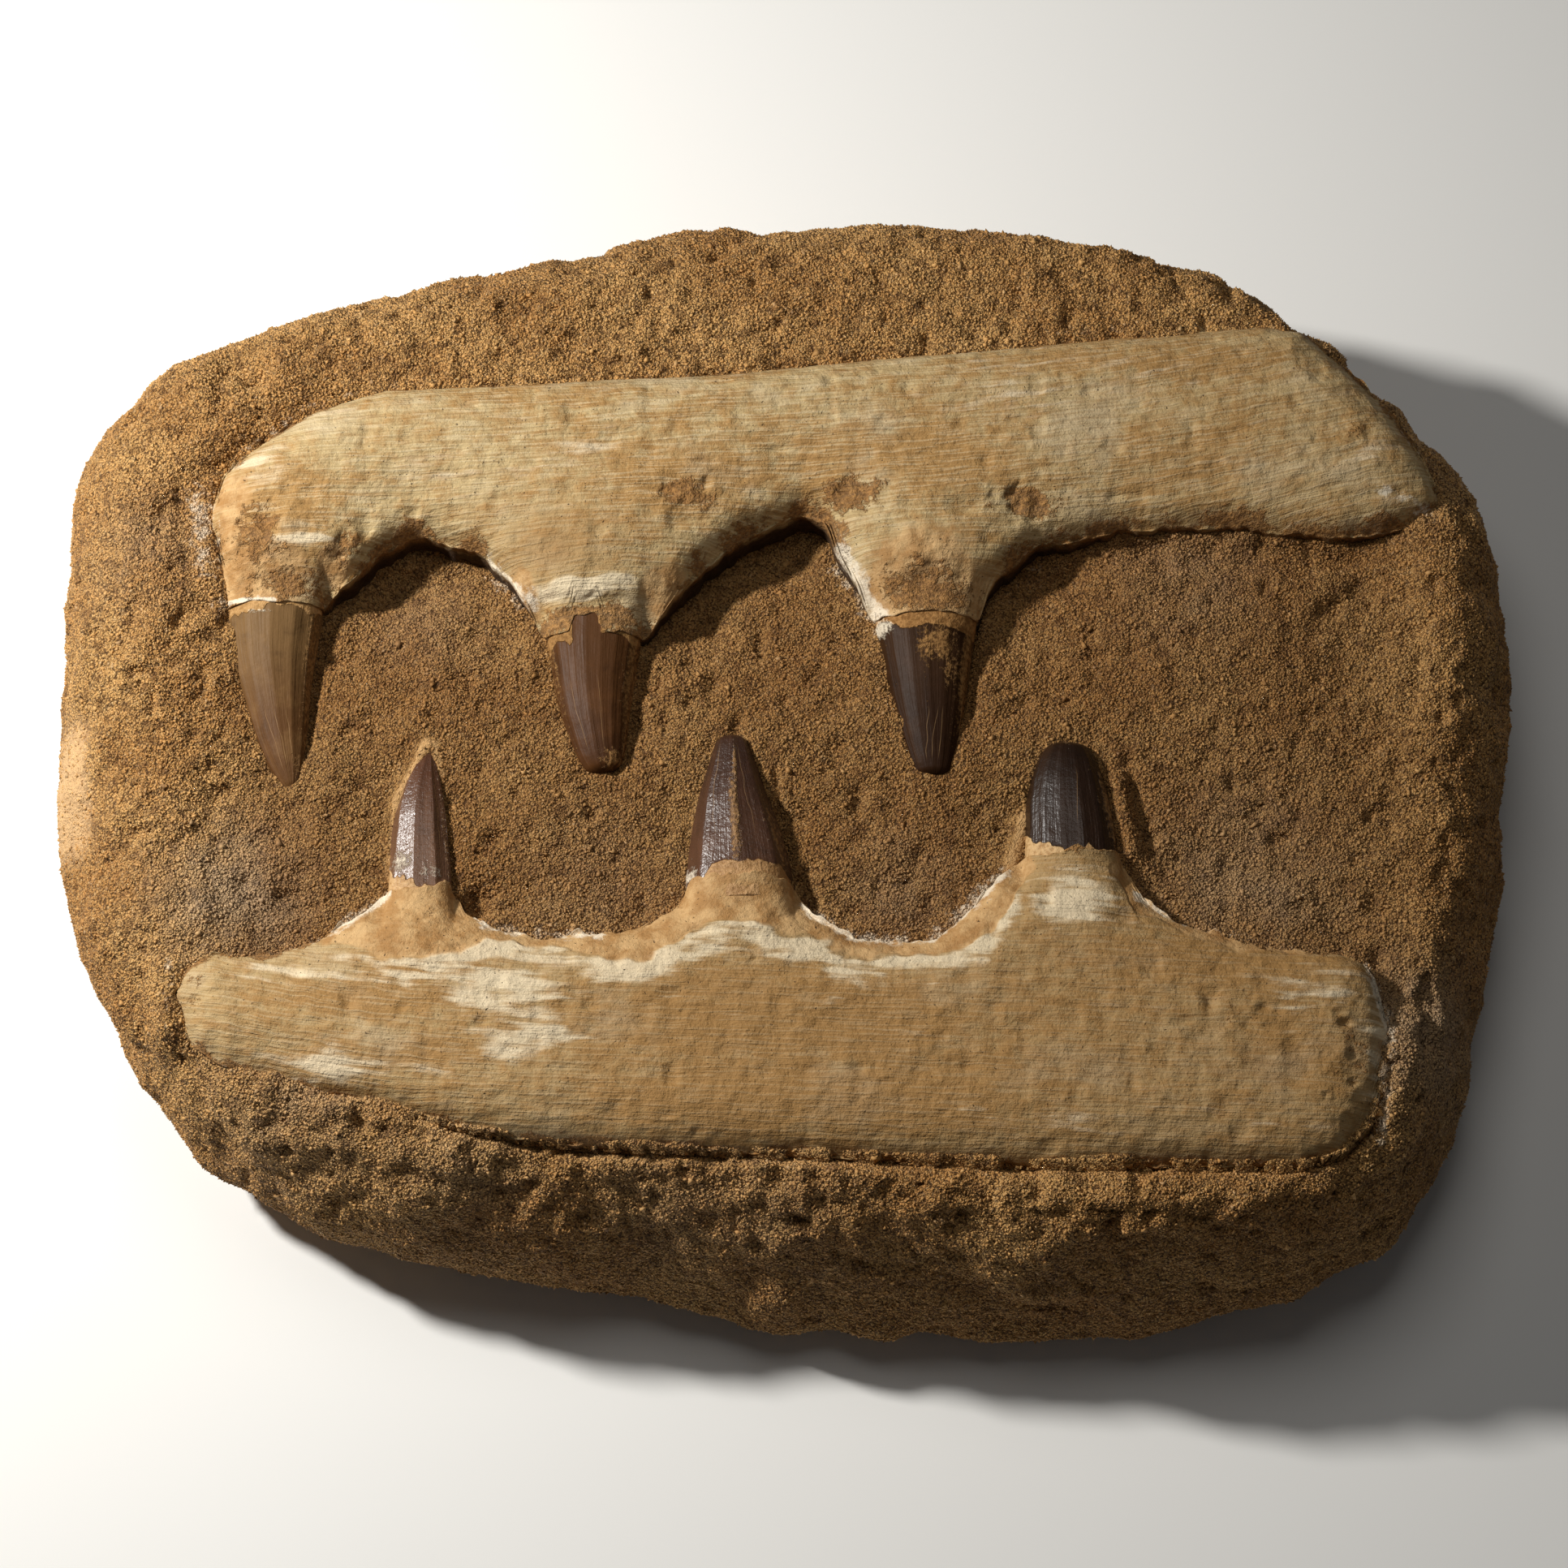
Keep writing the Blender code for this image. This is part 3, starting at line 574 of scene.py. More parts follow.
def sand_colour(finish, place, pick, hue):
    """Colour of the sandstone: each grain picks a place between dark brown and pale and leans to orange or
    grey, over wide drifts, under the dust and powder that the mesh marks, with painted shade on the carved
    floor."""
    drift = finish.noise(place, 22.0, 3.0)
    speck = finish.noise(place, 2.4, 3.0)
    powder = finish.mark("powder") * 0.85 + (finish.noise(place, 1.6, 4.0, 0.65) - 0.5) * 2.0
    return finish.over(
        finish.mix(drift.rising(0.35, 0.65), tint(174, 127, 70), tint(196, 152, 92)),
        (hue.rising(0.5, 1.0) * 0.2, tint(190, 128, 60)),
        ((1 - hue).rising(0.85, 1.0) * 0.4, tint(160, 142, 116)),
        ((pick * 2.0 - 1.2).clamp() * 0.6, tint(230, 188, 126)),
        ((0.42 - pick).rising(0.0, 0.4) * 0.8, tint(84, 54, 26)),
        (speck.rising(0.5, 0.7) * 0.6, tint(106, 70, 34)),
        # painted shade: the recessed floor carved between the jaws is darkened
        (finish.mark("carved") * 0.4, tint(102, 64, 26)),
        (finish.mark("dust") * 0.6, tint(172, 150, 122)),
        (powder.rising(0.45, 0.95) * 0.65, tint(224, 208, 184)),
    )


def sandstone():
    """Sandstone between the loose grains: packed cells of sand with dark joints."""
    finish = Finish("sandstone", {"Specular IOR Level": 0.25, "Roughness": 0.88})
    place = finish.place()
    bend = finish.node("ShaderNodeTexNoise", {}, {"Vector": place, "Scale": 0.9, "Detail": 3.0}, "Color")
    bent = finish.node("ShaderNodeVectorMath", {"operation": "ADD"}, {0: place, 1: bend})
    middle = finish.cells(bent, 0.4)
    shade = finish.cells(bent, 0.4, "Color")
    pick = finish.node("ShaderNodeSeparateColor", {}, {0: shade})
    colour = sand_colour(finish, place, pick, finish.node("ShaderNodeSeparateColor", {}, {0: shade}, 1))
    bare = finish.mark("bare")
    joint = middle.rising(0.4, 0.8) * (1 - bare)
    colour = finish.over(
        colour,
        (joint * 0.85, tint(62, 38, 17)),
        (bare.rising(0.3, 0.8) * 0.85, tint(200, 158, 106)),
        (finish.mark("sawn").rising(0.1, 0.9) * 0.3, tint(226, 190, 148)),
    )
    fine = finish.noise(place, 1.1, 4.0, 0.65)
    height = (1 - middle) * (1 - bare * 0.85) * 0.7 + fine * 1.6
    finish.bump(height, 0.6)
    return finish.paint(colour)


def grains_finish():
    """Loose sand grains, each with its own tone."""
    finish = Finish("sand_grains", {"Specular IOR Level": 0.35, "Roughness": 0.7})
    return finish.paint(sand_colour(finish, finish.place(), finish.mark("tone"), finish.mark("hue")))


def bone_finish():
    """Fossil bone: fibres along the jaw, crumbs and pores, tan stains, smooth filler over the roots and a
    pale band, with sandy grit where the mesh marks it, and painted shade where it marks shade and on the
    jaws' sunk sides."""
    finish = Finish("fossil_bone", {"Specular IOR Level": 0.3, "Roughness": 0.75})
    place = finish.place()
    waved = finish.mark("across") + finish.noise(place, 9.0, 2.0) * 0.5
    lines = finish.node("ShaderNodeCombineXYZ", {}, {0: finish.mark("along"), 1: waved, 2: 0.0})
    wide = finish.noise(finish.scaled(lines, (0.14, 1.0, 1.0)), 1.9, 3.0, 0.6)
    fine = finish.noise(finish.scaled(lines, (0.05, 1.0, 1.0)), 0.42, 2.0, 0.6)
    stain = finish.noise(finish.scaled(lines, (0.6, 1.0, 1.0)), 13.0, 4.0, 0.6)
    grainy = finish.noise(place, 0.7, 3.0, 0.65)
    clotted = finish.noise(place, 2.4, 5.0, 0.7)
    cream, grit, filler = finish.mark("cream"), finish.mark("grit"), finish.mark("filler")

    tan = stain * 0.6 + wide * 0.4 + finish.mark("stain") * 0.8 + (clotted - 0.5) * 0.7
    cream_share = (cream + (wide - 0.5) * 2.0 + (stain - 0.5) * 1.4).rising(0.35, 0.85)
    filler_share = (filler + (stain - 0.5) * 1.2 + (clotted - 0.5) * 0.5).rising(0.25, 0.7)
    mottle = finish.noise(place, 4.5, 5.0, 0.65)
    grit_share = (grit + (clotted - 0.5) * 1.1 + (grainy - 0.5) * 0.5).rising(0.42, 0.56)
    bend = finish.node("ShaderNodeTexNoise", {}, {"Vector": place, "Scale": 1.3}, "Color")
    bend = finish.scaled(bend, (0.9, 0.9, 0.9))
    bent = finish.node("ShaderNodeVectorMath", {"operation": "ADD"}, {0: place, 1: bend})
    holes = 0.0
    for cell, rare, reach in ((0.65, 0.6, 0.6), (1.5, 0.88, 1.1), (3.0, 0.93, 1.6)):
        pick = finish.node("ShaderNodeSeparateColor", {}, {0: finish.cells(bent, cell, "Color")})
        holes = holes + ((pick - rare) * reach - finish.cells(bent, cell)).rising(0.0, 0.08)
    powder = finish.mark("powder") * 0.85 + (finish.noise(place, 1.6, 4.0, 0.65) - 0.5) * 1.8
    colour = finish.over(
        finish.mix(tan.rising(0.4, 0.68), tint(186, 162, 116), tint(168, 129, 76)),
        ((0.5 - stain).rising(0.02, 0.2) * 0.5, tint(198, 181, 150)),
        (wide.rising(0.52, 0.7) * 0.25, tint(156, 118, 70)),
        (fine.rising(0.5, 0.62) * 0.35, tint(214, 196, 160)),
        ((0.5 - fine).rising(0.0, 0.14) * 0.35, tint(134, 100, 58)),
        (finish.mark("shade"), tint(146, 108, 60)),
        (cream_share * 0.7, tint(229, 213, 181)),
        (filler_share * 0.8, finish.mix(mottle.rising(0.38, 0.62), tint(160, 116, 66), tint(198, 160, 110))),
        (grit_share * 0.85, finish.mix(grainy.rising(0.35, 0.7), tint(104, 68, 32), tint(172, 124, 68))),
        # painted shade: the jaws' sides go near black where they face the front and sink deep
        (finish.mark("wall") * 0.92, tint(46, 29, 14)),
        (holes.clamp() * 0.6, tint(70, 48, 27)),
        (powder.rising(0.45, 0.95) * 0.75, tint(232, 220, 198)),
    )
    fibre_part = (1 - filler_share * 0.8) * (1 - grit_share * 0.6)
    height = (wide * 0.45 + fine * 0.4) * fibre_part + clotted * 0.9
    finish.bump(height + grainy * (0.3 + grit_share * 0.9) - holes * 0.7, 0.6)
    return finish.paint(colour)


# Enamel of each crown: colour toward the root and toward the tip, roughness, gloss and strength of the
# stripes, then the darker and paler colour of the crust at its root
ENAMEL = {
    "upper_tooth_1": ((112, 84, 50), (90, 59, 30), 0.5, 0.14, 0.16, (150, 112, 66), (188, 148, 98)),
    "upper_tooth_2": ((78, 48, 22), (66, 38, 16), 0.44, 0.14, 0.25, (116, 82, 44), (160, 120, 72)),
    "upper_tooth_3": ((52, 32, 16), (44, 25, 11), 0.45, 0.1, 0.3, (124, 86, 46), (170, 126, 76)),
    "lower_tooth_1": ((104, 74, 54), (80, 50, 34), 0.22, 0.6, 0.25, (164, 122, 72), (198, 160, 110)),
    "lower_tooth_2": ((76, 50, 35), (56, 35, 24), 0.24, 0.5, 0.35, (150, 108, 60), (186, 144, 94)),
    "lower_tooth_3": ((42, 26, 15), (34, 20, 11), 0.28, 0.35, 0.3, (158, 116, 66), (204, 168, 118)),
}


def enamel(name):
    """Crown enamel: ridges and stripes that run from root to tip, pale cracks, and the crust of bone at
    the root and the film of sand that the mesh marks."""
    root, tip, dullness, gloss, striped, crust_dark, crust_pale = ENAMEL[name]
    root_colour, tip_colour = tint(*root), tint(*tip)
    finish = Finish(name + "_enamel", {"Specular IOR Level": gloss})
    place = finish.place()
    turn, length = finish.mark("turn"), finish.mark("length")
    lines = finish.node("ShaderNodeCombineXYZ", {}, {0: turn, 1: length, 2: 0.0})
    stripe = finish.noise(finish.scaled(lines, (1.0, 0.002, 1.0)), 0.05, 4.0, 0.55)
    ridge = finish.noise(finish.scaled(lines, (1.0, 0.001, 1.0)), 0.012, 2.0, 0.6)
    cloud = finish.noise(place, 6.0, 4.0, 0.6)
    grainy = finish.noise(place, 0.7, 3.0, 0.65)
    dark = tuple(0.4 * part for part in tip_colour)
    light = tuple(1.6 * part for part in root_colour)
    cracks = 0.0
    for number in range(len(CRACKS[name][-1])):
        cracks = cracks + (0.07 - finish.mark(f"crack_{number}").join("ABSOLUTE")).rising(0.0, 0.06)
    film = (finish.mark("film") + (grainy - 0.5) * 1.4 + (stripe - 0.5) * 1.8).rising(0.4, 0.9)
    crust = (finish.mark("crust") + (grainy - 0.5) * 0.8).rising(0.35, 0.65)
    powder = (finish.mark("powder") + (grainy - 0.5) * 1.6).rising(0.4, 0.9)
    colour = finish.over(
        finish.mix(length.rising(2.0, 24.0), root_colour, tip_colour),
        (stripe.rising(0.48, 0.7) * striped, dark),
        ((0.5 - stripe).rising(0.0, 0.2) * striped, light),
        (cloud.rising(0.5, 0.75) * 0.4, light),
        ((0.45 - cloud).rising(0.0, 0.15) * 0.4, dark),
        (cracks.clamp() * finish.mark("cracked") * 0.4, tint(170, 134, 92)),
        (film * 0.8, finish.mix(grainy.rising(0.35, 0.7), tint(112, 78, 42), tint(168, 126, 76))),
        (crust * 0.95, finish.mix((cloud + grainy).rising(0.8, 1.2), tint(*crust_dark), tint(*crust_pale))),
        (powder * 0.8, tint(226, 212, 188)),
    )
    dull = (film + crust + powder).clamp()
    height = ridge * 0.35 + stripe * 0.25 + grainy * (0.7 * gloss + dull * 0.9) + cloud * 0.8
    finish.bump(height, 0.3)
    return finish.paint(colour, dullness + grainy * 0.12 + dull * 0.3)


def amount(places, x, y, wander):
    """Strength at each point of a list of marked lines, with their edges moved by a bumpy field."""
    total = 0.0
    for *line, half_width, strength in places:
        total = np.maximum(total, strength * near_line(x, y, line, half_width * (1.0 + 0.35 * wander)))
    return total


def stone_marks(x, y, z):
    """Powder, dust, bare and sawn marks of the stone at points, and the painted shade of the carved floor."""
    wander = lumps(x, y, z, 4.2)
    powder = amount(POWDER, x, y, wander) * (0.85 + 0.3 * lumps(x, y, z, 2.1)) * ease(*POWDER_HEIGHTS, z)
    dust = 0.0
    for centre_x, centre_y, reach, strength in DUST:
        dust = dust + strength * near_point(x, y, centre_x, centre_y, reach, reach)
    dust = np.clip(dust * (1.0 + 0.6 * wander), 0.0, 1.0)
    sawn_x, sawn_y, reach = SAWN_PLACE
    sawn = np.exp(-(((x - sawn_x) / SAWN_DEPTH) ** 4) - ((y - sawn_y) / reach) ** 4)
    sawn = sawn * between(z, *SAWN_HEIGHTS)
    bare = np.maximum(amount(BARE, x, y, wander), 0.7 * sawn)
    return {"powder": powder, "dust": dust, "bare": bare, "sawn": sawn, "carved": carved_share(x, y, z)}


def carved_share(x, y, z):
    """1 on the floor carved between the jaws, 0 on the untouched stone."""
    return between(y, *CARVED_Y) * between(x, *CARVED_X) * ease(*CARVED_Z, z)


def stone_relief(x, y, z, normal):
    """Height added to the stone along its normal: bumps of several sizes, pits where a bumpy field is
    high, chips in the rim, long marks on the front slope, broken sides and upright marks on the right."""
    relief = 0.45 * lumps(x, y, z, 5.7) + 0.45 * lumps(x, y, z, 3.1) + 0.45 * lumps(x, y, z, 1.9)
    relief = relief - 1.3 * ease(0.45, 0.85, lumps(x + 40, y, z, 4.1))
    relief = relief - 0.9 * ease(0.5, 0.85, lumps(x, y + 40, z, 2.3))
    relief = relief * (1.0 - 0.2 * carved_share(x, y, z))
    front = ease(0.15, 0.6, -normal[:, 1]) * (1 - ease(0.9, 1.0, normal[:, 2]))
    relief = relief + front * (0.5 * lumps(x / 2.6, y, z, 4.4) + 0.5 * lumps(x / 1.5, y, z, 2.4))
    for *line, half_width, depth in CHIPS:
        broken = (depth + 0.6 * max(depth, 0.0) * lumps(x, y, z, 1.7)) * ease(*CHIP_HEIGHTS, z)
        relief = relief - broken * near_line(x, y, line, half_width)
    side = ease(0.35, 0.8, 1.0 - np.abs(normal[:, 2])) * between(z, *SIDE_HEIGHTS)
    knocked = 0.9 * lumps(x, y + 15.0, z, 10.0) + 0.6 * lumps(x + 15.0, y, z, 4.8) - 0.4
    relief = relief + side * (knocked - 1.2 * ease(0.4, 0.8, lumps(x, y + 70.0, z, 6.5)))
    right = ease(0.2, 0.7, normal[:, 0])
    relief = relief + right * (0.7 * lumps(x, y, z / 3.0, 4.2) + 0.5 * lumps(x, y, z / 2.5, 2.2))
    return relief


def under_bones(x, y, z):
    """Height of the stone kept under the jaws' faces, dropped along the front of the lower jaw and raised
    to meet the left end of both."""
    for *line, half_width, level in RAISED:
        z = z + np.maximum(level - z, 0.0) * near_line(x, y, line, half_width)
    for jaw in (UPPER_JAW, LOWER_JAW):
        to_back = distance_to(edge_samples(jaw, "back"), x, y)
        to_front = distance_to(edge_samples(jaw, "front"), x, y)
        face = bone_height(jaw, y, to_back, to_front)
        low_x, high_x = jaw["back"][0][0], jaw["back"][-1][0]
        inside = (y < edge_line(jaw["back"], x)) & (y > edge_line(jaw["front"], x))
        inside &= (x > low_x) & (x < high_x)
        depth = np.where(inside, np.minimum(to_back, to_front), 0.0)
        depth = depth + 0.9 * lumps(x, y, 3.0, 3.1) + 0.6 * lumps(x, y, 8.0, 1.6) - 0.5
        z = np.where(inside, np.minimum(z, face + 0.5 - 3.5 * ease(0.0, 1.8, depth)), z)
        if jaw is LOWER_JAW:
            outside = ~inside & (y < -60.0) & (x > -80.0)
            drop = 0.6 * np.exp(-((to_front / 5.0) ** 2)) + 2.2 * np.exp(-((to_front / 1.3) ** 2))
            z = z - np.where(outside, drop * ease(-66.0, -46.0, x), 0.0)
    return z


def stone_piece():
    """The stone: a square grid bent over the top, its border carried down the sides to the underside, then
    moved along its normal by the relief, cut by the grooves and hollows, and kept under the bones."""
    columns, rows = STONE_GRID
    side_steps = np.linspace(*SIDE_STEPS)
    border, squares, below, places = slab_layout(columns, rows, len(side_steps) - 1)
    a, b = grid_places(-1, columns, rows)
    ring = np.maximum(np.abs(a), np.abs(b))
    sideways = np.abs(a) >= np.abs(b)
    safe = np.maximum(ring, TINY)
    eighth = math.pi / 4
    turn = np.where(sideways, eighth * b / safe, math.pi / 2 - eighth * a / safe)
    turn = np.where(sideways & (a < 0), math.pi - turn, turn)
    turn = np.where(~sideways & (b < 0), -turn, turn)
    angle = np.arctan2(BLOCK_ASPECT * np.sin(turn), np.cos(turn))
    step = np.interp(ring, (0.0, FLAT_SHARE, 1.0), (0.0, 1.0, side_steps[0]))
    step = np.concatenate([step, np.repeat(side_steps[1:], len(border))])
    angle = np.concatenate([angle, np.tile(angle[border], len(side_steps) - 1)])
    points = np.stack(block_point(step, angle), axis=1)
    normal = point_normals(points, squares)
    x, y, z = points.T
    relief = stone_relief(x, y, z, normal) * (1.0 - ease(*RELIEF_END, step))
    strength = LOW_RELIEF + (1.0 - LOW_RELIEF) * ease(0.0, 1.0, 2.2 - step)
    points = points + normal * relief[:, None] * strength[:, None]
    x, y, z = points.T
    top = ease(0.5, 0.9, normal[:, 2])
    for *line, half_width, depth in GROOVES:
        z = z - depth * top * near_line(x, y, line, half_width)
    for centre_x, centre_y, reach_x, reach_y, depth in HOLLOWS:
        z = z - depth * top * near_point(x, y, centre_x, centre_y, reach_x, reach_y)
    z = np.where(step < 1.9, under_bones(x, y, z), z)
    points = np.stack([x, y, np.maximum(z, 0.0)], axis=1)
    marks = stone_marks(*points.T)
    make_piece("stone", points, [squares, below[None]], places, marks, sandstone(), ["matrix"])
    return points, squares, marks, step


def covered(x, y):
    """Whether points seen from above lie on a jaw or a crown."""
    hidden = np.zeros(len(x), dtype=bool)
    for jaw in (UPPER_JAW, LOWER_JAW):
        within = (x > jaw["back"][0][0]) & (x < jaw["back"][-1][0])
        hidden |= within & (y < edge_line(jaw["back"], x) - 1.8) & (y > edge_line(jaw["front"], x) + 0.8)
    for rows in CROWNS.values():
        path = np.array(rows, dtype=float)
        order = np.argsort(path[:, 1])
        middle = np.interp(y, path[order, 1], path[order, 0])
        half = np.interp(y, path[order, 1], path[order, 3], left=0.0, right=0.0)
        hidden |= np.abs(x - middle) < half - 0.2
    return hidden


CHIP = np.array([(1, 1, 1), (-1, -1, 1), (-1, 1, -1), (1, -1, -1)], dtype=float)
CHIP_FACES = np.array([(0, 1, 3), (0, 2, 1), (0, 3, 2), (1, 2, 3)])
GRAINS_A_PIECE = 48000
# Stone's area to a grain, in square millimetres, on the top, the sides and below the widest line
GRAIN_ROOM = (0.22, 0.34, 1.1)
# Step down the side where the grains end, their middle size and its spread, and the few larger pebbles
GRAINS_END = 2.85
GRAIN_SIZE = 0.155
GRAIN_SPREAD = 0.32
PEBBLE_EXTRA = 0.3
PEBBLE_SHARE = 0.0015


def turning(rng, count):
    """Random rotation matrices from random quaternions."""
    w, x, y, z = rng.normal(size=(4, count))
    length = np.sqrt(w * w + x * x + y * y + z * z)
    w, x, y, z = w / length, x / length, y / length, z / length
    rows = [[1 - 2 * (y * y + z * z), 2 * (x * y - w * z), 2 * (x * z + w * y)],
            [2 * (x * y + w * z), 1 - 2 * (x * x + z * z), 2 * (y * z - w * x)],
            [2 * (x * z - w * y), 2 * (y * z + w * x), 1 - 2 * (x * x + y * y)]]
    return np.array(rows).transpose(2, 0, 1)


def grain_pieces(points, squares, marks, step):
    """Sand grains: four-sided chips strewn on the stone's faces, each turned and stretched at random and
    half sunk into the stone. Bare and covered places and the underside have none."""
    rng = np.random.default_rng(5)
    squares = squares[step[squares].mean(axis=1) < GRAINS_END]
    corner = points[squares]
    area = 0.5 * np.linalg.norm(np.cross(corner[:, 2] - corner[:, 0], corner[:, 3] - corner[:, 1]), axis=1)
    room = np.interp(step[squares].mean(axis=1), (1.1, 1.4, 2.0, 2.3), np.repeat(GRAIN_ROOM, (1, 2, 1)))
    squares = np.repeat(squares, np.floor(area / room + rng.random(len(squares))).astype(int), axis=0)
    corner = points[squares]
    s, t = rng.random((2, len(squares), 1))
    front, back = (corner[:, i] * (1 - s) + corner[:, j] * s for i, j in ((0, 1), (3, 2)))
    centre = front * (1 - t) + back * t
    normal = unit(np.cross(corner[:, 2] - corner[:, 0], corner[:, 3] - corner[:, 1]))
    bare = marks["bare"][squares].mean(axis=1)
    keep = ~covered(centre[:, 0], centre[:, 1]) | (centre[:, 2] < 30.0)
    keep &= rng.random(len(centre)) > bare * 1.1
    centre, normal, squares = centre[keep], normal[keep], squares[keep]
    count = len(centre)
    size = GRAIN_SIZE * np.exp(rng.normal(0.0, GRAIN_SPREAD, count))
    size = size + PEBBLE_EXTRA * (rng.random(count) < PEBBLE_SHARE)
    centre = centre - normal * (0.1 * size)[:, None]
    shape = CHIP * rng.uniform(0.8, 1.15, (count, 4, 1)) * rng.uniform(0.85, 1.2, (count, 1, 3))
    chips = np.einsum("nij,nkj->nki", turning(rng, count), shape) * size[:, None, None] + centre[:, None, :]
    values = {"tone": np.clip(rng.normal(0.47, 0.17, count), 0.0, 1.0), "hue": rng.random(count)}
    # the carved mark carries the painted shade of the carved floor onto the grains
    for name in ("powder", "dust", "carved"):
        values[name] = marks[name][squares].mean(axis=1)
    material = grains_finish()
    for part, start in enumerate(range(0, count, GRAINS_A_PIECE)):
        chosen = slice(start, start + GRAINS_A_PIECE)
        number = len(chips[chosen])
        faces = (CHIP_FACES[None] + 4 * np.arange(number)[:, None, None]).reshape(-1, 3)
        side = math.ceil(math.sqrt(number))
        cell = np.stack([np.arange(number) % side, np.arange(number) // side], axis=1)
        spot = np.array([(0.3, 0.3), (0.7, 0.3), (0.5, 0.7)])
        places = (cell[:, None, None, :] + np.tile(spot, (4, 1, 1))[None]).reshape(-1, 2) / side
        spread = {name: np.repeat(value[chosen], 4) for name, value in values.items()}
        make_piece(f"sand_grains_{part + 1}", chips[chosen].reshape(-1, 3), [faces], places, spread,
                   material, smooth=False)


# Marks on the jaws: filler over the roots, pale patches, gritty and stained places, as x, y, reach along
# x and y, and strength
UPPER_MARKS = {
    "filler": ((-87, 25, 9, 7, 1.1), (-75.5, 27, 3, 3.6, 1.2), (-94, 34, 4, 10, 0.7), (-44, 21.5, 3, 4, 1.2),
               (-19.5, 22, 4, 5.5, 1.1), (25, 23, 11, 8, 1.5)),
    "cream": ((-81, 30.5, 5.5, 2.2, 1.1), (-89, 44, 7, 5, 0.5), (-78, 54, 8, 3, 0.6), (-32, 22.6, 10, 2, 1.3),
              (17.5, 19, 2, 4, 0.9), (48, 58, 20, 7, 0.45), (-50, 45, 22, 6, 0.35), (95, 44, 14, 6, 0.4)),
    "grit": ((-88, 32, 7, 8, 0.62), (-83, 24, 10, 4, 0.6), (-74, 30, 5, 4, 0.6), (-32, 17.5, 10, 2.6, 1.1),
             (-15, 38.5, 7, 3, 0.75), (12.5, 39.5, 6, 4, 0.8), (25, 22, 12, 6.5, 0.62), (42, 37, 7, 3, 0.9),
             (100, 52, 8, 8, 0.35), (-60, 36, 10, 2.5, 0.4)),
    "stain": ((-15, 41, 12, 6, 0.4), (20, 46, 18, 7, 0.3), (-85, 30, 9, 10, 0.4), (70, 45, 22, 6, 0.15),
              (-40, 57, 35, 4, 0.15), (60, 63, 25, 3, 0.2)),
}
LOWER_MARKS = {
    "filler": (),
    "cream": ((-45, -49, 13, 5, 0.95), (-40, -57, 12, 5, 0.7), (-76, -46, 12, 3, 0.8), (-70, -62, 22, 3, 0.7),
              (49, -33, 7.5, 6, 0.9), (-12, -42.5, 9, 2.6, 0.8), (60, -70, 30, 4, 0.35),
              (88, -52, 9, 8, 0.35), (98, -60, 3.5, 15, 0.8)),
    "grit": ((-58, -36, 6, 3, 0.35), (75, -55, 14, 10, 0.3), (93, -60, 6, 14, 0.4), (-96, -50, 4, 8, 0.4)),
    "stain": ((-68, -51, 14, 3, 0.45), (-60, -60, 10, 3, 0.4), (6, -67, 26, 5, 0.6), (84, -60, 12, 7, 0.3),
              (0, -54, 38, 7, 0.4), (70, -44, 20, 4, 0.4), (-60, -45, 12, 3, 0.4), (-75, -62, 14, 3, 0.25),
              (40, -62, 24, 5, 0.2)),
}
# Line on the lower jaw between the filler above it and the pale bone below it
FILLER_LINE = (
    (-75, -41), (-62, -43), (-54, -43.5), (-48, -40.5), (-40, -40.8), (-28, -44.5), (-22, -43.5),
    (-12, -38.2), (-4, -37.3), (4, -40.5), (14, -43.5), (26, -43.2), (34, -40.5), (37, -37), (40, -31),
    (42, -27), (55, -27), (58, -32), (63, -37.5), (72, -41), (84, -43),
)
# Spans along x of the filler, of the root at the right that has none, and of the pale band
FILLER_SPAN = (-78.0, -72.0, 84.0, 90.0)
PLAIN_ROOT = (40.0, 42.5, 54.5, 57.5)
CREAM_SPAN = (-74.0, -66.0, 34.0, 48.0)
CREAM_WIDTH = 4.0
# Notch in the front edge of the upper jaw's middle root, and the ledge that crosses this root
NOTCH_SPAN = (-36.0, -34.6, -31.2, -29.8)
NOTCH_DEPTH = 3.4
LEDGE_SPAN = (-42.5, -40.0, -24.5, -22.0)
LEDGE_LINE = 21.0
LEDGE_HEIGHT = 0.9
WALL_LEVELS = 14


def oval_amount(places, x, y):
    """Greatest strength at each point of a list of soft oval places."""
    total = np.zeros(np.shape(x))
    for *place, strength in places:
        total = np.maximum(total, strength * near_point(x, y, *place))
    return total


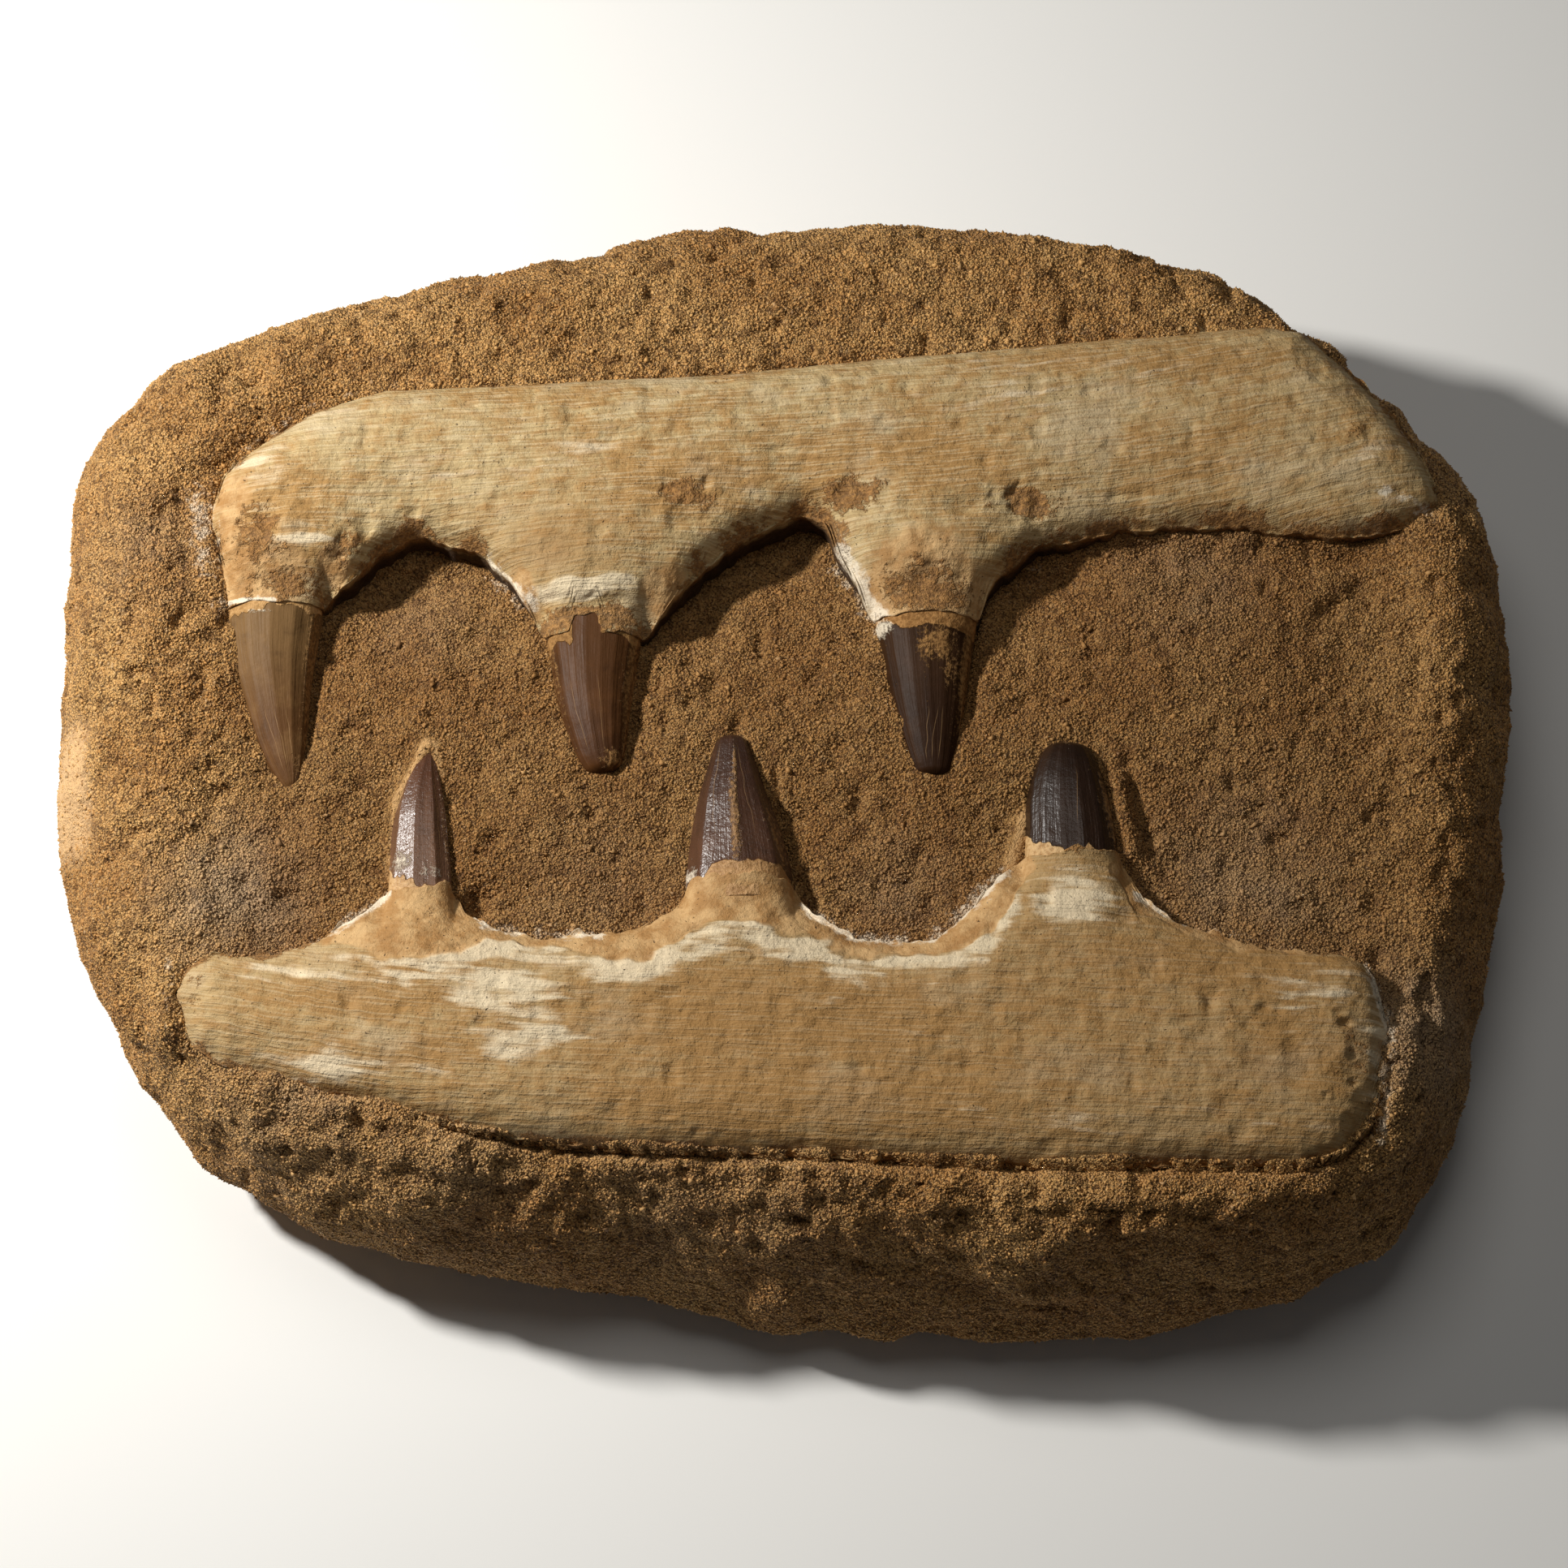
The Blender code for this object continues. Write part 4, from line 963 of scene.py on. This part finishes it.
def jaw_marks(jaw, x, y, wall, edge):
    """Filler, cream, grit, stain and powder marks of a jaw, its painted shade, and the coordinates of its
    fibres.
    The edge is 1 on the rounded rim and 0 on the face. The wall shade is painted shade on the jaw's sunk
    sides;
    there it also takes the place of filler, cream and some powder, and brings grit."""
    wander = lumps(x, y, 0.0, 3.7)
    along, across = x, y
    x = x + 1.6 * lumps(along, across, 1.0, 5.5) + 0.8 * lumps(along, across, 2.0, 2.1)
    y = y + 1.2 * lumps(along, across, 3.0, 5.5) + 0.7 * lumps(along, across, 4.0, 2.1)
    places = UPPER_MARKS if jaw is UPPER_JAW else LOWER_MARKS
    filler, cream, grit, stain = (oval_amount(rows, x, y) for rows in places.values())
    # The shade mark is painted shade: both jaws darker toward the right, the upper one also left of its
    # middle root
    if jaw is UPPER_JAW:
        slope = 0.05 * (x + 40.0) + 0.0011 * np.maximum(x - 20.0, 0.0) ** 2
        shade = ease(-20.0, 90.0, x) * 0.25 + 0.7 * near_point(along, across, -38.0, 29.0, 12.0, 8.0)
    else:
        line = np.interp(x, *np.array(FILLER_LINE).T) + 0.7 * wander
        filler = ease(-1.2, 1.3, y - line) * between(x, *FILLER_SPAN)
        filler = filler * (1 - between(x, *PLAIN_ROOT))
        band = ease(-CREAM_WIDTH - 4.0, -CREAM_WIDTH + 3.5, y - line) * (1 - filler)
        band = band * between(x, *CREAM_SPAN) * (0.85 + 0.3 * wander)
        cream = np.maximum(band, cream)
        slope = -0.03 * x + 0.0016 * np.minimum(x + 40.0, 0.0) ** 2
        shade = 0.35 + 0.25 * ease(-70.0, -10.0, x)
    powder = amount(POWDER, along, across, wander) * 1.05
    grit = np.maximum(grit, edge * (0.6 + 0.35 * wander) * (1 - 0.7 * np.clip(filler, 0, 1)))
    for base_x, base_y, _, half in (rows[0] for rows in CROWNS.values()):
        wall = wall * (1.0 - 0.85 * (np.abs(along - base_x) < half) * (np.abs(across - base_y) < 3.5))
    return {"filler": filler * (1 - wall), "cream": cream * (1 - wall), "grit": np.maximum(grit, 0.7 * wall),
            "stain": stain, "powder": powder * (1 - 0.6 * wall), "along": along, "across": across - slope,
            "shade": shade, "wall": wall}


def over_crowns(name, x, y, z):
    """Height of a jaw with its roots rounded across, so that each covers the base of its crown."""
    for crown, rows in CROWNS.items():
        if crown.split("_")[0] != name.split("_")[0]:
            continue
        base_x, base_y, base_z, half = rows[0]
        half = half + 0.4
        behind = (y - base_y) * math.copysign(1.0, base_y - rows[-1][1])
        arch = np.sqrt(np.clip(1.0 - ((x - base_x) / half) ** 2, 0.0, 1.0))
        cover = base_z + CROWN_FLATNESS * half * arch + CUFF
        near = (1.0 - ease(-1.0, 10.0, behind)) * (1.0 - ease(half + 1.0, half + 5.0, np.abs(x - base_x)))
        z = z * (1.0 - near) + cover * near
    return z


def jaw_walls(loop, underside):
    """Level rows of points that carry a jaw's border down to its underside with rough sides that lean in
    a little, and the outward direction at each point of the border."""
    ahead = np.roll(loop, -1, axis=0) - np.roll(loop, 1, axis=0)
    out = unit(np.stack([ahead[:, 1], -ahead[:, 0]], axis=1))
    x, y, z = loop.T
    walls = []
    for level in np.arange(1, WALL_LEVELS + 1) / WALL_LEVELS:
        wall_z = z + (underside - z) * level
        rough = 0.5 * lumps(x, y, wall_z, 2.1) + 0.3 * lumps(x, y, wall_z, 1.1)
        moved = loop[:, :2] + out * (rough * min(1.0, 3 * level) * 0.8 - 0.3 * level)[:, None]
        walls.append(np.column_stack([moved, wall_z]))
    return np.concatenate(walls), out


def jaw_piece(name, jaw, columns, rows):
    """A jaw: a grid laid between its two edges, its border carried down in walls that lean in a little,
    with fibres, pits and ledges raised on it."""
    low_x, high_x = jaw["back"][0][0], jaw["back"][-1][0]
    border, squares, below, places = slab_layout(columns, rows, WALL_LEVELS)
    i, j = grid_places(0, columns, rows)
    x = low_x + (high_x - low_x) * i
    back, front = edge_line(jaw["back"], x), edge_line(jaw["front"], x)
    ragged = 0.9 * lumps(x, 0.0, 5.0, 3.3) + 0.6 * lumps(x, 0.0, 9.0, 1.4) + 0.4 * lumps(x, 0.0, 13.0, 0.7)
    back = back + ragged
    front = front - 0.5 * np.minimum(ragged, back - front)
    if jaw is UPPER_JAW:
        front = front + NOTCH_DEPTH * between(x, *NOTCH_SPAN)
    share = 0.5 - 0.5 * np.cos(math.pi * j)
    share = 0.5 * share + 0.5 * j
    y = front + (back - front) * share
    to_back = distance_to(edge_samples(jaw, "back"), x, y)
    to_front = distance_to(edge_samples(jaw, "front"), x, y)
    z = bone_height(jaw, y, to_back, to_front) - 0.5
    marks = jaw_marks(jaw, x, y, 0.0, 0.0)
    fibre = lumps(marks["along"] / 9.0, marks["across"], 0.0, 1.3) * 0.1
    fibre = fibre + lumps(marks["along"] / 14.0, marks["across"], 3.0, 2.7) * 0.16
    coarse = np.clip(marks["grit"] + 0.25, 0.0, 1.0)
    crumbs = crumbly(x, y, z, 2.2) * (0.08 + 0.38 * coarse)
    swell = 0.35 * lumps(x / 1.6, y, z, 9.0)
    pits = 0.8 * ease(0.5, 0.85, lumps(x / 1.7, y, 2.0, 2.6)) * (0.35 + 0.65 * coarse)
    pits = pits + 0.5 * ease(0.45, 0.6, marks["grit"] + 0.35 * lumps(x, y, 7.0, 2.4))
    inside = ease(0.0, 2.0, np.minimum(to_back, to_front))
    z = z + fibre * (1 - 0.8 * np.clip(marks["filler"], 0, 1))
    z = z + (crumbs + swell - pits) * (0.4 + 0.6 * inside)
    if jaw is UPPER_JAW:
        ledge_y = LEDGE_LINE + 0.6 * lumps(x, 0.0, 1.0, 2.4)
        z = z + LEDGE_HEIGHT * between(x, *LEDGE_SPAN) * (ease(-0.4, 0.4, y - ledge_y) - 0.7)
    edge = np.exp(-((to_back / 1.5) ** 2))
    if jaw is UPPER_JAW:
        z = z - 2.6 * edge_fall(to_front, 4.5) * ease(21.0, 28.0, y)
        edge = np.maximum(edge, np.exp(-((to_front / 3.0) ** 2)))
    else:
        z = z - 1.2 * edge_fall(to_front, 4.5)
        edge = np.maximum(edge, np.exp(-((to_front / 1.6) ** 2)))
    z = z - 1.6 * edge_fall(np.minimum(x - low_x, high_x - x), 3.5)
    z = over_crowns(name, x, y, z)
    top_points = np.stack([x, y, z], axis=1)

    walls, out = jaw_walls(top_points[border], jaw["underside"])
    points = np.concatenate([top_points, walls])
    # Painted shade on the sides: darkest where they face the front, away from the key lamp, and deeper below
    # the face
    facing_front = np.clip(0.35 - 1.5 * out[:, 1], 0.15, 1.0)
    sunk = np.tile(z[border], WALL_LEVELS) - walls[:, 2]
    dark = np.tile(facing_front, WALL_LEVELS) * ease(-0.5, 3.5, sunk)
    wall = np.concatenate([np.zeros(len(top_points)), dark])
    edge = np.concatenate([edge, np.tile(edge[border], WALL_LEVELS)])
    marks = jaw_marks(jaw, points[:, 0], points[:, 1], wall, edge)
    marks["across"][len(top_points):] += sunk
    make_piece(name + "_bone", points, [squares, below[None]], places, marks, BONE, [name])


# Base of each crown's enamel: how far the bone's crust reaches from the crown's base, in millimetres, at
# places across its face from -1 at the left to 1 at the right
CRUST_REACH = {
    "upper_tooth_1": ((-1, 2.4), (-0.75, 2), (-0.5, 0.9), (-0.2, 0.5), (0.3, 0.3), (0.6, 0.3), (1, 0.8)),
    "upper_tooth_2": ((-1, 2.4), (-0.7, 1.2), (-0.45, 1), (-0.4, -5), (0.1, -5), (0.16, -0.2), (0.7, -0.2),
                      (1, 1.4)),
    "upper_tooth_3": ((-1, 0.8), (-0.7, 1.4), (-0.4, 2), (0, 2.4), (0.4, 2), (0.8, 2.6), (1, 3)),
    "lower_tooth_1": ((-1, 3), (-0.6, 1.6), (-0.3, 0.4), (0, 0), (0.5, 0), (0.8, 0.6), (1, 1.4)),
    "lower_tooth_2": ((-1, -2), (-0.75, -1.5), (-0.6, 0.8), (-0.3, 2.2), (0, 2.6), (0.4, 2.4), (0.7, 1.4),
                      (1, 0.5)),
    "lower_tooth_3": ((-1, 3.4), (-0.85, 2.4), (-0.6, 1.2), (-0.35, -0.6), (0, -1.5), (0.2, -0.6),
                      (0.32, 1.2), (0.42, 0.4), (0.55, -0.8), (0.85, -0.6), (1, 1)),
}
# Sand film on each crown, as place across, distance from the base, reach of both, and strength
FILM = {
    "upper_tooth_1": ((1, 12, 0.22, 20, 1), (0.9, 29, 0.5, 4, 0.6)),
    "upper_tooth_2": ((1, 8, 0.3, 18, 1), (0.6, 22.5, 0.7, 2.2, 0.9), (-1, 10, 0.15, 16, 0.6)),
    "upper_tooth_3": ((0.25, 5, 0.5, 4.5, 0.95), (0.95, 10, 0.3, 14, 1), (0.6, 9.5, 0.35, 4, 0.7)),
    "lower_tooth_1": ((-1, 20, 0.3, 9, 0.7), (1, 14, 0.16, 12, 0.7)),
    "lower_tooth_2": ((-0.02, 9, 0.14, 11, 0.95), (1, 8, 0.35, 10, 0.7), (0.1, 20, 0.09, 5, 0.8)),
    "lower_tooth_3": ((0.95, 8, 0.28, 10, 0.75), (0, 21, 0.8, 1.4, 0.9)),
}
# Pale cracks on each crown: how far from the base they start and end, then the place of each across the
# crown at both ends
CRACKS = {
    "upper_tooth_1": (17, 30, ((-0.1, 0.15), (0.3, 0.5), (-0.4, -0.2))),
    "upper_tooth_2": (7, 21, ((-0.62, -0.5), (0.12, 0.2))),
    "upper_tooth_3": (16, 26, ((0.25, -0.1), (0.4, 0.25), (-0.05, -0.3))),
    "lower_tooth_1": (6, 20, ((0.72, 0.68),)),
    "lower_tooth_2": (6, 25, ((-0.5, -0.62), (0.02, 0.2), (0.45, 0.3))),
    "lower_tooth_3": (4, 15, ((0.12, 0.2),)),
}
# White patches at the base of crowns, laid out as the sand film is
CROWN_POWDER = {
    "upper_tooth_1": ((-0.3, 1.2, 0.4, 0.4, 0.7),),
    "upper_tooth_2": (),
    "upper_tooth_3": ((-0.95, 1.2, 0.3, 1.8, 1),),
    "lower_tooth_1": ((-0.6, 4.6, 0.5, 2.6, 0.72), (0.3, 2.4, 0.5, 1.6, 0.6)),
    "lower_tooth_2": ((-0.95, 1, 0.2, 2, 0.8),),
    "lower_tooth_3": (),
}
# Flat facets round each crown's face: how many, and how deep the hollows between their edges are
FACETS = {
    "upper_tooth_1": (12, 0.035), "upper_tooth_2": (18, 0.018), "upper_tooth_3": (16, 0.02),
    "lower_tooth_1": (9, 0.075), "lower_tooth_2": (8, 0.06), "lower_tooth_3": (14, 0.025),
}
# Length of the rounded tip, how far the middle line is smoothed, and how much the rings crowd to the tip
TIP_LENGTH = 1.6
SMOOTHING = 1.4
CROWDING = 1.15


def crown_rings(name, along):
    """Rings along a crown, crowded toward its rounded tip: the distance of each past the crown's base, its
    middle and half its width, and its directions across and up."""
    path = np.array(CROWNS[name], dtype=float)
    inward = path[0] + (path[0] - path[1]) * ROOT_OVERLAP / np.linalg.norm(path[0, :3] - path[1, :3])
    inward[3] = path[0, 3]
    path = np.concatenate([inward[None], path])
    distance = np.concatenate([[0.0], np.cumsum(np.linalg.norm(np.diff(path[:, :3], axis=0), axis=1))])
    s = (1.0 - (1.0 - np.linspace(0.0, 1.0, along)) ** CROWDING) * distance[-1]
    nearby = [s + SMOOTHING * k for k in np.linspace(-1.0, 1.0, 7)]
    middle = [np.mean([np.interp(at, distance, row) for at in nearby], axis=0) for row in path.T]
    middle = np.stack(middle, axis=1)
    tip = np.clip((distance[-1] - s) / TIP_LENGTH, 0.0, 1.0)
    half = middle[:, 3] * np.sqrt(np.maximum(1.0 - (1.0 - tip) ** 2, 0.01))
    direction = unit(np.gradient(middle[:, :3], s, axis=0))
    sideways = unit(np.cross(np.array([0.0, 0.0, 1.0]), direction))
    return s - distance[1], middle[:, :3], half, sideways, np.cross(direction, sideways)


def crown_piece(name, around=132, along=130):
    """A crown: rings round a smooth middle line, flattened in height, with hollow facets between low
    edges, fine ridges, a crust raised at the root and a rounded, slightly broken tip."""
    past_base, middle, half, sideways, upward = crown_rings(name, along)
    turn = np.linspace(0, 2 * math.pi, around, endpoint=False)
    flip = np.sign(sideways[0, 0])
    length, turns = np.meshgrid(past_base, turn, indexing="ij")
    across, upper = np.cos(turns) * flip, np.sin(turns)
    count, hollow = FACETS[name]
    wave = np.abs(np.sin(0.5 * count * turns))
    facet = hollow * (0.64 - wave)
    depth_share = np.clip(half / half.max(), 0.15, 1.0)[:, None]
    jag = 0.9 * lumps(across * 9.0, length, 0.0, 2.3) + 0.5 * lumps(across * 9.0, length, 5.0, 0.9)
    reach = np.interp(across, *np.array(CRUST_REACH[name], dtype=float).T) + jag
    crust = ease(-0.45, 0.45, reach - length)
    film = oval_amount(FILM[name], across, length)
    powder = oval_amount(CROWN_POWDER[name], across, length)
    crack_start, crack_end, crack_lines = CRACKS[name]
    share = (length - crack_start) / (crack_end - crack_start)
    cracked = between(share, 0.0, 0.25, 0.8, 1.0) * ease(0.0, 0.2, upper)
    cracks = []
    for start, end in crack_lines:
        wandering = start + (end - start) * share + 0.05 * lumps(length, 0.0, start * 50, 2.2)
        cracks.append((across - wandering) * half[:, None])
    radius = half[:, None] * (1.0 + facet * (1 - ease(0.0, 1.0, crust)))
    rough = 0.3 * lumps(across * 7.0, length, 4.0, 1.1)
    radius = radius + (0.1 + 0.6 * rough) * crust * ease(-0.2, 1.0, upper) * depth_share
    radius = radius + np.clip(film, 0, 1) * (0.1 + 0.2 * rough)
    bent = radius * (1.0 + 0.012 * lumps(across * 3.0, length / 3.0, 0.0, 1.7))
    points = middle[:, None] + sideways[:, None] * (bent * np.cos(turns))[..., None]
    points = points + upward[:, None] * (bent * upper * CROWN_FLATNESS)[..., None]
    squares, start_cap, end_cap, places = tube_layout(around, along)
    marks = {"length": length, "turn": turns / (2 * math.pi), "crust": crust, "film": film,
             "powder": powder, "cracked": cracked}
    marks.update({f"crack_{number}": crack for number, crack in enumerate(cracks)})
    marks = {mark: values.ravel() for mark, values in marks.items()}
    groups = [squares, start_cap[None], end_cap[None]]
    make_piece(name + "_crown", points.reshape(-1, 3), groups, places, marks, enamel(name), [name])


def pale_floor():
    """Wide pale floor that the block lies on."""
    mesh = bpy.data.meshes.new("floor")
    corners = [(-FLOOR_REACH, -FLOOR_REACH, 0), (FLOOR_REACH, -FLOOR_REACH, 0),
               (FLOOR_REACH, FLOOR_REACH, 0), (-FLOOR_REACH, FLOOR_REACH, 0)]
    mesh.from_pydata(corners, [], [(0, 1, 2, 3)])
    mesh.materials.append(Finish("pale_floor", {"Roughness": 0.9}).paint(tint(244, 243, 240)))
    floor = bpy.data.objects.new("floor", mesh)
    bpy.context.scene.collection.objects.link(floor)


def lamps_and_sky():
    """Two soft lamps aimed at the block, and a faint even sky."""
    for name, (place, size, power) in LAMPS.items():
        lamp_data = bpy.data.lights.new(name, "AREA")
        lamp_data.shape = "DISK"
        lamp_data.size = size
        lamp_data.energy = power
        lamp_data.color = LAMP_COLOUR
        lamp = bpy.data.objects.new(name, lamp_data)
        lamp.location = place
        lamp.rotation_euler = (Vector(LAMP_AIM) - Vector(place)).to_track_quat("-Z", "Y").to_euler()
        bpy.context.scene.collection.objects.link(lamp)

    world = bpy.data.worlds.new("sky")
    world.use_nodes = True
    sky = world.node_tree.nodes["Background"]
    sky.inputs["Color"].default_value = SKY_COLOUR
    sky.inputs["Strength"].default_value = SKY_STRENGTH
    bpy.context.scene.world = world


def photo_camera():
    """Camera that sees the block as the photograph shows it."""
    camera_data = bpy.data.cameras.new("camera")
    camera_data.lens = CAMERA_LENS
    camera_data.sensor_width = CAMERA_SENSOR
    camera_data.clip_start = 0.01
    camera = bpy.data.objects.new("camera", camera_data)
    tilt = math.radians(CAMERA_ELEVATION)
    back = Vector((0.0, -math.cos(tilt), math.sin(tilt)))
    camera.location = Vector(CAMERA_TARGET) + back * CAMERA_DISTANCE
    camera.rotation_euler = (-back).to_track_quat("-Z", "Y").to_euler()
    bpy.context.scene.collection.objects.link(camera)
    bpy.context.scene.camera = camera
    bpy.context.scene.view_settings.view_transform = "Standard"


# The key lamp stands at the block's left, a little behind it, so that the right and front fall into shade,
# and a weak one hangs over it: place, size in metres and power in watts
LAMPS = {"key_lamp": ((-0.36, 0.1, 0.34), 0.05, 3.1), "high_lamp": ((0.02, 0.08, 0.45), 0.25, 0.3)}
LAMP_AIM = (0.0, 0.0, 0.04)
LAMP_COLOUR = (1.0, 0.98, 0.94)
SKY_COLOUR = (0.95, 0.97, 1.0, 1.0)
SKY_STRENGTH = 0.04
FLOOR_REACH = 4.0
CAMERA_TARGET = (0.0002, -0.01085, 0.045)
CAMERA_DISTANCE = 0.73
CAMERA_ELEVATION = 70.0
CAMERA_LENS = 100.0
CAMERA_SENSOR = 36.0

BONE = bone_finish()
grain_pieces(*stone_piece())
jaw_piece("upper_jaw", UPPER_JAW, 470, 120)
jaw_piece("lower_jaw", LOWER_JAW, 460, 122)
for crown in CROWNS:
    crown_piece(crown)
pale_floor()
lamps_and_sky()
photo_camera()
